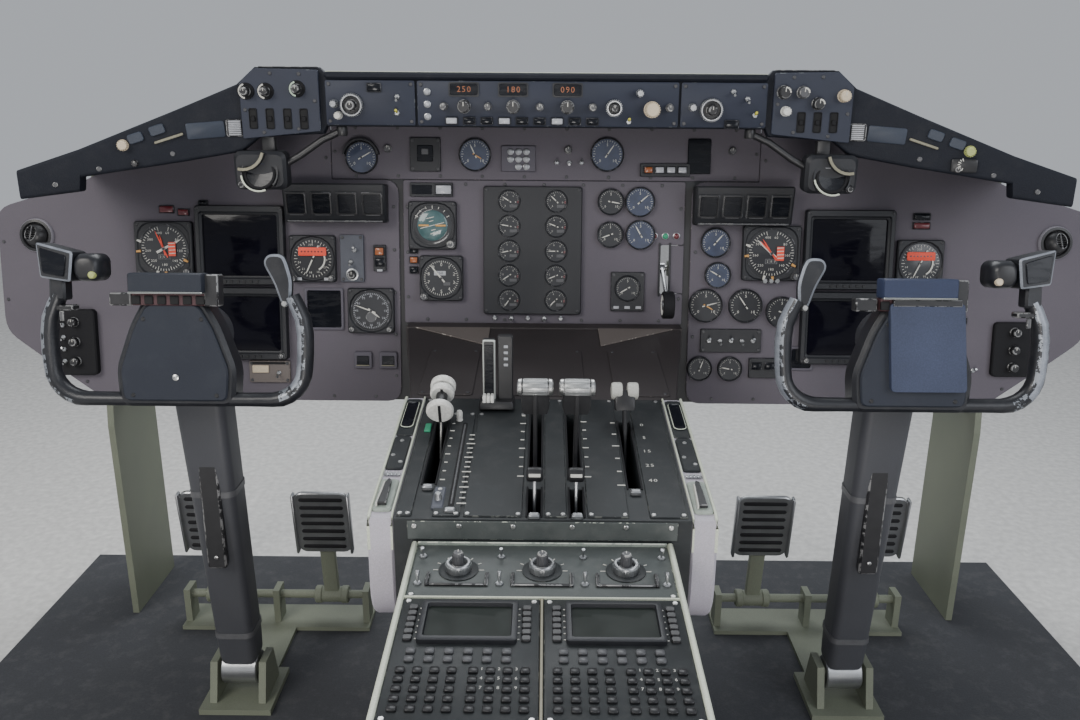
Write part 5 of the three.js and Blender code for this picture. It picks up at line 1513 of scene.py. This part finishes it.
def quadrant():
    """The lever box: walls between the slots, slot ends and floors, top plates and scales."""
    piece = Piece("throttle_quadrant_box")
    columns = sorted({x for x, *_ in SLOTS})
    edges = [-QUAD_HALF] + [x + way * SLOT_HALF for x in columns for way in (-1, 1)] + [QUAD_HALF]
    for x0, x1 in zip(edges[::2], edges[1::2]):
        quadrant_block(piece, x0, x1, QUAD_AFT, QUAD_FRONT)
    for x in columns:
        ends = [QUAD_AFT]
        # Slot floors in near black: painted shade down in the slots
        for _, aft, fore, floor in sorted(slot for slot in SLOTS if slot[0] == x):
            quadrant_block(piece, x - SLOT_HALF, x + SLOT_HALF, aft, fore, "slot_dark", floor)
            ends += [aft, fore]
        ends.append(QUAD_FRONT)
        for y0, y1 in zip(ends[::2], ends[1::2]):
            quadrant_block(piece, x - SLOT_HALF, x + SLOT_HALF, y0, y1)
    piece.spun([(8, -170), (8, 170)], "metal", moved(0, *LEVER_SHAFT) @ ACROSS, 16)
    piece.spun([(5, -50), (5, 50)], "metal", moved(PAIR_X, *FUEL_SHAFT) @ ACROSS, 12)
    # Seal strips along each slot and thin plates between them
    for x, aft, fore, _ in SLOTS:
        for side in (-1, 1):
            top_plate(piece, x + side * SLOT_HALF, x + side * (SLOT_HALF + 2.4), aft - 4, fore + 4, 1.6,
                      "rubber", 0.6)
    # columns: x0, x1, forward y
    for x0, x1, fore in ((-170, -152, 86), (-128, -96, 40), (-92, -24, 40), (2, 28, 86), (52, 100, 86),
                         (124, 168, 86)):
        at = top_plate(piece, x0, x1, -232, fore, 2.0, "pedestal_dark")
        corner_screws(piece, x1 - x0, fore + 232, 4.5, 1.8, at, x0 + 200, "steel")
    # Slot of the long track between the white lever and the thrust levers: a thin near-black plate, painted
    # shade for the open slot
    track = top_plate(piece, -112, -104, -214, 8, 2.6, "slot_dark", 3)
    piece.block(-1.0, 1.0, -104, 104, 2.4, 3.2, "knob_grey", 0.2, track)
    # Scales: x, aft y, forward y, count, width
    for x, y0, y1, count, wide in ((-96, -205, -30, 15, 7), (-124, -150, 4, 8, 4), (96, -160, 10, 6, 6),
                                   (-28, -140, 30, 8, 5), (56, -140, 38, 8, 5)):
        for i in range(count):
            half = wide * (0.5 if i % 3 else 0.8)
            at = on_quadrant(x, y0 + (y1 - y0) * i / (count - 1), 2.0)
            piece.block(-half, half, -0.9, 0.9, 0, 0.5, "mark", 0, at)
    for i, word in enumerate(("0", "5", "15", "25", "40")):
        piece.digits(word, 10, 0, 0, 0.3, "mark", on_quadrant(136, 4 - 38 * i, 2.0))
    # Stops at the aft ends of the slots, and a small pale plate with its knob between them
    for x, y in ((SPEED_BRAKE_X, -170), (-108, -222), (PAIR[0], -232), (PAIR[1], -232), (FLAP_X, -178)):
        piece.stack([(13, 8, 2, 0), (13, 8, 2, 3.4), (10, 5, 1.5, 5)], "metal", on_quadrant(x, y, 1.0))
    small = top_plate(piece, -131, -117, -216, -168, 3.4, "plate_grey", 2)
    knob(piece, 4.6, 9, small @ shift(0, -6, 3.2), "metal", line=False)
    piece.scatter(SCREW, [(0, 17, 3.2)], "steel", 5, small)
    # Plate across the aft end, above the aft pedestal
    piece.block(-156, 156, QUAD_AFT - 1.6, QUAD_AFT + 1, 535, QUAD_AFT_Z - 2, "pedestal", 0.6)
    aft_face = leaning(0, QUAD_AFT - 1.6, 548, 90)
    piece.scatter(SCREW, [(x, 4, 0) for x in (-148, -96, -34, 34, 96, 148)], "steel", 27, aft_face)
    # Green index and a small white knob beside the white lever
    piece.block(-4.2, 4.2, -11, 11, 0, 3.4, "green", 0.8, on_quadrant(-158, -12, 1.6))
    knob(piece, 4.6, 15, on_quadrant(-117, 15, 1.6), "white", line=False)
    piece.done("pedestal_paint", "throttle_quadrant")


def lobe(side_name, side):
    """A side lobe of the quadrant: rounded cheek, pale edge strips, a window, plates and a worn end."""
    piece = Piece(f"quadrant_lobe_cheek_{side_name}")
    near, far = sorted((side * 172.3, side * 203))
    # Aft lower corner, with a radius of 60
    corner = [(QUAD_AFT + 60 - x, 470 - y) for y, x in (clockwise(60, turn) for turn in range(0, 91, 15))]
    outline = [(QUAD_FRONT, QUAD_FRONT_Z), (QUAD_AFT + 14, QUAD_AFT_Z + 1), (QUAD_AFT + 5, QUAD_AFT_Z - 2),
               (QUAD_AFT, QUAD_AFT_Z - 10)] + corner + [(QUAD_FRONT, 410)]
    piece.prism(outline, near, far, "lobe", 3, SIDEWAYS)
    # Pale strips along the outer and inner top edges and down the aft end
    for x, half in ((side * 201.2, 1.8), (side * 174.5, 1.2)):
        path = [(x, QUAD_FRONT - 1, QUAD_FRONT_Z + 1.6), (x, -80, quadrant_top(-80) + 1.6),
                (x, QUAD_AFT + 16, QUAD_AFT_Z + 2.4), (x, QUAD_AFT + 6, QUAD_AFT_Z - 1),
                (x, QUAD_AFT + 1.4, QUAD_AFT_Z - 10), (x, QUAD_AFT + 1.4, 520)]
        flat = [(-half, -1.6), (half, -1.6), (half, 1.0), (half * 0.5, 1.8), (-half * 0.5, 1.8),
                (-half, 1.0)]
        piece.sweep(path, flat, "trim", up=(0, 0.2, 1))
    # columns: aft y, forward y, thickness, finish
    for y0, y1, thick, kind in ((-32, 84, 2.2, "pedestal_dark"), (-124, -36, 3.4, "pedestal_dark"),
                                (-222, -150, 3.4, "pedestal_light")):
        at = top_plate(piece, side * 177, side * 199, y0, y1, thick, kind, 4)
        if kind == "pedestal_dark" and thick > 3:
            piece.scatter(SCREW, [(0, 30, 3.3), (-6, -10, 3.3), (6, -28, 3.3)], "steel", 9, at)
    piece.stack([(18, 84, 8, 0), (18, 84, 8, 1.6), (16, 82, 7, 2.2), (14, 80, 7, 1.4), (8, 60, 4, 1.4)],
                ["pedestal_dark", "trim", "window", "window"], on_quadrant(side * 188, 30, 2.2), 5)
    for i in range(4):
        round_lamp(piece, 1.7, on_quadrant(side * (181 + 4.6 * i), -137, 1.0), "lamp_white")
    wedge = on_quadrant(side * 188, -186, 3.4)
    piece.prism([(-6, -28), (5, -28), (3.4, 26), (-1, 30), (-4, 20)], 0, 5, "knob", 1, wedge)
    piece.prism([(-7.4, -30), (-5.6, -30), (-3.6, 20), (-5.2, 20)], 0, 5.6, "mark", 0.4, wedge)
    piece.done("lobe_paint", f"quadrant_lobe_{side_name}")


def lever_base(name, x, lean, body, foot=13, bore=8.8, blade=5, shaft=LEVER_SHAFT):
    """A lever's piece, with its foot on the shaft. Local z runs up the lever."""
    piece = Piece(name, leaning(x, *shaft, -lean), body)
    piece.spun(both_ways((bore, blade / 2), (foot, blade / 2)), "metal", ACROSS)
    return piece


# White spool: its place along the lever, the tilt of its axis, and radius and place of each disc
SPOOL_RISE, SPOOL_TURN = 240, 132
SPOOL_DISCS = ((18.5, 36), (16.7, 0), (17.6, -15))


def speed_brake_lever():
    """Lever with a white spool: three discs on a dark, tilted core, the nearest one grooved."""
    piece = lever_base("speed_brake_handle", SPEED_BRAKE_X, 20, "speed_brake")
    piece.stack([(5, 22, 1, 10), (5, 22, 1, 206), (5, 16, 1, 235)], "knob", sides=2)
    piece.block(-0.8, 0.8, -11.6, -11, 150, 206, "mark", 0)
    spool = moved(0, 0, SPOOL_RISE) @ turned("X", SPOOL_TURN)
    piece.spun([(8, -16), (8, 40)], "knob", spool, 20)
    for radius, z in SPOOL_DISCS:
        piece.spun(both_ways((radius - 2.6, 5.5), (radius, 3), middle=z), "white", spool, 36)
        piece.block(-2.0, 2.0, -radius + 2.4, radius - 5, z + 5, z + 5.9, "knob", 0.2, spool)
    piece.done("white_knob", "speed_brake_lever")


def thrust_lever(side_name, x):
    """Thrust lever: blade with a ribbed silver cross grip between bright caps."""
    piece = lever_base(f"thrust_lever_grip_{side_name}", x, -16, f"{side_name}_thrust")
    piece.stack([(5, 22, 1, 10), (5, 22, 1, 270), (5, 14, 1, 300)], "knob", sides=2)
    piece.stack([(30, 14, 3, 268), (34, 14, 3, 276), (34, 14, 3, 296)], "knob")
    grip = moved(0, 0, 303) @ ACROSS
    ends = ["steel", "steel", "knob", "knob"]
    piece.spun(both_ways((8, 21.5), (9.8, 19.9), (10.4, 16.5), (9.6, 15.5), (10.2, 14.5)),
               ends + ["knob_silver"] + ends[::-1], grip, 28)
    piece.marks("knob_silver", grip, 12, 10.4, (1.0, 1.4, 27.0))
    piece.done("bare_metal", f"thrust_lever_{side_name}")


def flap_lever():
    """Flap lever with two pale pads on a black block."""
    piece = lever_base("flap_lever_handle", FLAP_X, 20, "flap")
    piece.stack([(5, 22, 1, 10), (5, 22, 1, 200), (5, 16, 1, 224)], "knob", sides=2)
    piece.stack([(26, 17, 3, 218), (28, 18, 3, 222), (28, 18, 3, 242), (24, 14, 3, 246)], "knob")
    for side in (-1, 1):
        piece.spun(both_ways((7, 8), (11, 7), (12, 4), middle=side * 11), "knob_pale",
                   moved(0, 0, 245) @ ACROSS)
    piece.done("bare_metal", "flap_lever")


def fuel_lever(side_name, x):
    """Fuel lever: a short blade with a round black knob."""
    piece = lever_base(f"fuel_lever_handle_{side_name}", x, 14, f"{side_name}_fuel", 9, 5.8, 4, FUEL_SHAFT)
    piece.stack([(4, 12, 1, 7), (4, 12, 1, 84)], "metal", sides=2)
    piece.spun(both_ways((6.4, 10), (8.6, 8), (9, 5)), "knob", moved(0, 0, 92) @ ACROSS, 22)
    piece.block(-7, 7, -9.6, -8.2, 90, 94, "mark", 0.3)
    piece.done("bare_metal", f"fuel_lever_{side_name}")


def trim_handles():
    """Upright trim handle with bright edges, its ribbed white knob, and a dark plate of small lamps."""
    piece = Piece("trim_handle_grip")
    piece.stack([(50, 40, 4, quadrant_top(84) + 1), (50, 40, 4, 598), (46, 36, 4, 603)], "knob",
                moved(-67, 64, 0))
    outline = soft_outline([(-87, 600), (-69, 600), (-69, 691), (-87, 691)], 3, 3)
    handle = piece.prism(outline, -72, -58, "knob", 2, turned("X", 90))
    count = len(outline)
    piece.coat(handle[:count] + handle[2 * count:3 * count], "metal_worn", 1.0)
    piece.block(-84, -72, 57, 58.6, 612, 684, "window", 0.5)
    piece.prism(soft_outline([(-66, 600), (-44, 600), (-44, 697), (-66, 697)], 4, 3), -72, -60, "knob", 1.6,
                turned("X", 90))
    for i in range(4):
        piece.block(-57, -51, 58.8, 60.2, 652 + 9 * i, 656 + 9 * i, "lamp_white", 0.5)
    for i in range(3):
        piece.stack([(5, 13, 1.6, 0), (5, 13, 1.6, 9), (4, 11, 1.6, 10.4)], "white",
                    moved(-84.4 + 5.6 * i, 51, 602))
    piece.done("bare_metal", "trim_handles")


def console():
    """Forward console between the quadrant and the panels: dark slope in painted shade, with beige wedges
    of painted light on each side.
    """
    piece = Piece("forward_console_shell")
    # columns: half width aft, half width forward, z aft, z forward
    levels = ((190, 190, 420, 420), (192, 192, 424, 424), (196, 246, 589, 613), (194, 244, 592, 616))
    piece.loops([[(-aft, 90.6, low), (aft, 90.6, low), (fore, 412, high), (-fore, 412, high)]
                 for aft, fore, low, high in levels], "console_dark")
    piece.block(-246, 246, 400, 432, 560, 617.6, "console_dark", 1)
    piece.block(-140, 140, 91, 400, 380, 430, "console_dark", 1)
    # Thin floor plates on the slope: pale wedges outboard, which are painted pools of light, and dark
    # plates in painted shade between the levers and the panel
    top = leaning(0, 251, 604, math.degrees(math.atan2(24, 321)))
    wedge = [(-236, 154), (-96, 154), (-96, 62)]
    for outline in (wedge, mirrored(wedge)):
        piece.prism(outline, 0.2, 2.2, "console", 0.5, top)
    for x0, x1 in ((-188, -106), (-62, 62), (106, 188)):
        plate = soft_outline([(x0, -150), (x1, -150), (x1, 40), (x0, 40)], 6, 3)
        piece.prism(plate, 0.2, 1.8, "console_dark", 0.6, top)
        piece.scatter(SCREW, [(x, y, 1.7) for x in (x0 + 7, x1 - 7) for y in (-142, 32)], "screw", 17, top)
    piece.done("panel_paint", "forward_console")


# Aft pedestal

def unit_base(piece, x0, x1, y0, y1, rise, kind="pedestal"):
    """A unit's tray and face plate, with screws in its corners."""
    at = shift((x0 + x1) / 2, (y0 + y1) / 2)
    wide, tall = x1 - x0, y1 - y0
    piece.stack([(wide - 4, tall - 2, 1, -11), (wide - 4, tall - 2, 1, rise - 3), (wide, tall, 2, rise - 3),
                 (wide, tall, 2, rise - 0.8), (wide - 2, tall - 2, 2, rise)], kind, at)
    corner_screws(piece, wide, tall, 6, rise - 0.1, at, 21, "steel")


def rotary_panel():
    """Three rotary switches in their guards, with toggles between them."""
    piece = Piece("rotary_switch_unit", AFT_PLACE)
    unit_base(piece, -144, 144, -110, -4, 0)
    for x in (-92, 0, 92):
        at = shift(x, -57)
        piece.spun([(22, -0.4), (22, 1.2), (20, 1.8)], "pedestal_dark", at, 28)
        ringed_knob(piece, 0, 0, 14, at @ shift(0, 0, 1), core="knob_grey")
        piece.marks("mark", at @ shift(0, 0, 0.4), 7, 28, (4.0, 1.0, 0.5), -90, 30, 3, 1.4)
        piece.block(x - 30, x + 30, -89, -85, 0, 3.4, "knob", 1)
        for side in (-1, 1):
            piece.block(x + side * 30, x + side * 34, -89, -64, 0, 3.4, "knob", 1)
    for x in (-134, -46, 46, 134):
        toggle(piece, shift(x, -30), 18)
        toggle(piece, shift(x, -84), -18)
    piece.done("pedestal_paint", "rotary_switch_panel")


def display_unit(side_name, side):
    """Control display unit: screen, line keys, function keys and a keypad."""
    x0, x1 = sorted((side * 2, side * 144))
    piece = Piece(f"control_display_unit_face_{side_name}", AFT_PLACE)
    unit_base(piece, x0, x1, -300, -113, 2, "pedestal_dark")
    middle = side * 73
    piece.stack([(98, 66, 4, -0.4), (98, 66, 4, 5), (95, 63, 4, 6), (87, 55, 3, 6), (85, 53, 3, 2),
                 (60, 34, 6, 2.4)],
                ["black"] * 4 + ["cdu_glass"], shift(middle, -157, 2), 4)
    for way in (-1, 1):
        piece.grid(KEY, 1, 6, 0, 50, "knob", shift(middle + way * 58, -157, 2))
        for i in range(6):
            x, y = middle + way * 50.4, -182 + 10 * i
            piece.block(x - 1, x + 1, y - 0.6, y + 0.6, 2, 2.6, "mark", 0)
    piece.grid(KEY, 6, 2, 92, 12, "knob_grey", shift(middle - 6, -208, 2))
    for x in (-34, 34):
        piece.grid(KEY, 4, 5, 48, 52, "knob", shift(middle + x, -256, 2))
    for i in range(9):
        piece.digits(str(i + 1), 5.5, middle + 18 + 16 * (i % 3), -230 - 13 * (i // 3), 5.2)
    piece.done("instrument_black", f"control_display_unit_{side_name}")


def radio_unit():
    """Three radio panels side by side: frequency windows, double knobs and small switches."""
    piece = Piece("radio_unit_faces", AFT_PLACE)
    for middle, words in ((-97, "118"), (0, "113"), (97, "121")):
        unit_base(piece, middle - 47, middle + 47, -405, -303, 0)
        at = shift(middle, -328)
        piece.stack([(66, 24, 3, -0.2), (66, 24, 3, 3), (64, 22, 3, 3.8), (58, 16, 2, 3.8), (56, 14, 2, 1),
                     (40, 6, 1, 1)],
                    ["black"] * 4 + ["window"], at)
        piece.digits(words, 12, 0, 0, 1.3, "lamp_amber", at)
        for side in (-1, 1):
            ringed_knob(piece, middle + side * 24, -378, 11, ring="knob_grey")
            lamp(piece, 9, 7, shift(middle + side * 24, -352), "lamp_white")
        toggle(piece, shift(middle, -376), 18)
    piece.done("instrument_black", "radio_panel")


def pedestal_body():
    """The aft pedestal's box on its plinth, with side doors, pale edge strips and dividers."""
    piece = Piece("pedestal_box")
    front, aft, half = -237.3, -648, 146
    aft_top = 518 - 410 * math.tan(math.radians(2.8))
    # The box takes the darker lavender as painted shade on its sides
    piece.prism([(aft, 150), (400, 150), (400, 379.7), (front, 379.7), (front, 518), (aft, aft_top)], -half,
                half, "lobe_shade", 4, SIDEWAYS)
    piece.block(-130, 130, -628, 398, 20.4, 152, "structure", 2)
    for side in (-1, 1):
        for y0, y1, z0, z1 in ((-620, -270, 180, 470), (-220, 80, 180, 355), (100, 370, 180, 355)):
            piece.block(side * 145, side * 147.6, y0, y1, z0, z1, "lobe", 1)
            for y in (y0 + 14, (y0 + y1) / 2, y1 - 14):
                for z in (z0 + 14, z1 - 14):
                    piece.spun([(6.4, 0), (6.4, 0.8), (5.4, 1.7), (4.2, 1.7), (3.8, 0.9)],
                               ["metal"] * 3 + ["slot_dark"],
                               moved(side * 147.4, y, z) @ turned("Y", 90 * side), 16)
        # Pale strip along the top side edge
        piece.block(side * 144.2, side * 150.6, -408, 0, -6, 15.6, "trim", 1.6, leaning(0, front, 518, 2.8))
    for y in (-111.5, -301.5):
        piece.block(-144, 144, y - 1.2, y + 1.2, -8, 3.4, "trim", 0.6, AFT_PLACE)
    piece.block(-144, 144, -3.2, -0.6, -10, 3.0, "pedestal_light", 0.8, AFT_PLACE)
    piece.block(-1.4, 1.4, -300, -113, -10, 3.4, "trim_dull", 0.5, AFT_PLACE)
    piece.done("pedestal_paint", "pedestal_body")


quadrant()
for (side_name, side), x in zip(SIDES, PAIR):
    lobe(side_name, side)
    thrust_lever(side_name, x)
    fuel_lever(side_name, x)
    display_unit(side_name, side)
speed_brake_lever()
flap_lever()
trim_handles()
console()
rotary_panel()
radio_unit()
pedestal_body()

# Plain carriers keep their construction and take a finish
# columns: node, finish
CARRIERS = (("floor_panel", "floor"), ("panel_frame_left", "structure"), ("panel_frame_right", "structure"),
            ("panel_beam", "case"), ("control_floor_fitting_left", "structure"),
            ("control_floor_fitting_right", "structure"))
for node, kind in CARRIERS:
    data = nodes[node].data
    data.materials.clear()
    data.materials.append(FINISH[kind])


# Stage: floor, soft light and the camera where the photo was taken

FLOOR_HALF, FLOOR_DROP = 6.0, 0.0005
SKY, SKY_STRENGTH = (0.80, 0.84, 0.90, 1), 0.55
# columns: name, place, aim, size, power, colour
LAMPS = (
    ("key_from_left", (-1.8, -1.7, 2.2), (0, 0.1, 0.6), 1.3, 46, (1.0, 0.97, 0.92)),
    ("fill_from_right", (2.0, -1.5, 1.7), (0, 0.1, 0.6), 1.6, 26, (0.92, 0.95, 1.0)),
    ("low_fill", (0, -2.3, 0.15), (0, 0.3, 0.8), 1.0, 36, (1.0, 0.97, 0.94)),
    ("window_light", (0, 1.3, 2.3), (0, 0.1, 0.9), 1.8, 45, (0.95, 0.98, 1.0)),
)
CAMERA_PLACE, CAMERA_LENS, SENSOR = (0, -1.210, 1.050), 31.18, 36
# Degrees: down from level, to the left, and about the line of sight
CAMERA_DIP, CAMERA_SWING, CAMERA_ROLL = 17, 0.25, 0.4


def stage():
    data = bpy.data.meshes.new("studio_floor")
    corners = [(x * FLOOR_HALF, y * FLOOR_HALF, -FLOOR_DROP)
               for x, y in ((-1, -1), (1, -1), (1, 1), (-1, 1))]
    data.from_pydata(corners, [], [(0, 1, 2, 3)])
    data.materials.append(finish("studio_floor_pale", (0.62, 0.61, 0.59), 0.75, patch=(0.6, 0.03),
                                 grain=(60, 0.05)))
    sheet = shown("studio_floor", data)

    world = bpy.data.worlds.new("studio")
    bpy.context.scene.world = world
    world.use_nodes = True
    sky = world.node_tree.nodes["Background"].inputs
    sky["Color"].default_value, sky["Strength"].default_value = SKY, SKY_STRENGTH

    for name, place, aim, size, power, colour in LAMPS:
        light = bpy.data.lights.new(name, "AREA")
        light.size, light.energy, light.color = size, power, colour
        lamp_object = shown(name, light)
        lamp_object.location = place
        lamp_object.rotation_euler = (Vector(aim) - Vector(place)).to_track_quat("-Z", "Y").to_euler()

    view = bpy.data.cameras.new("camera")
    view.lens, view.sensor_width = CAMERA_LENS, SENSOR
    camera = shown("camera", view)
    aim = turned("Z", CAMERA_SWING) @ turned("X", 90 - CAMERA_DIP) @ turned("Z", CAMERA_ROLL)
    camera.matrix_world = moved(*CAMERA_PLACE) @ aim
    bpy.context.scene.camera = camera


stage()
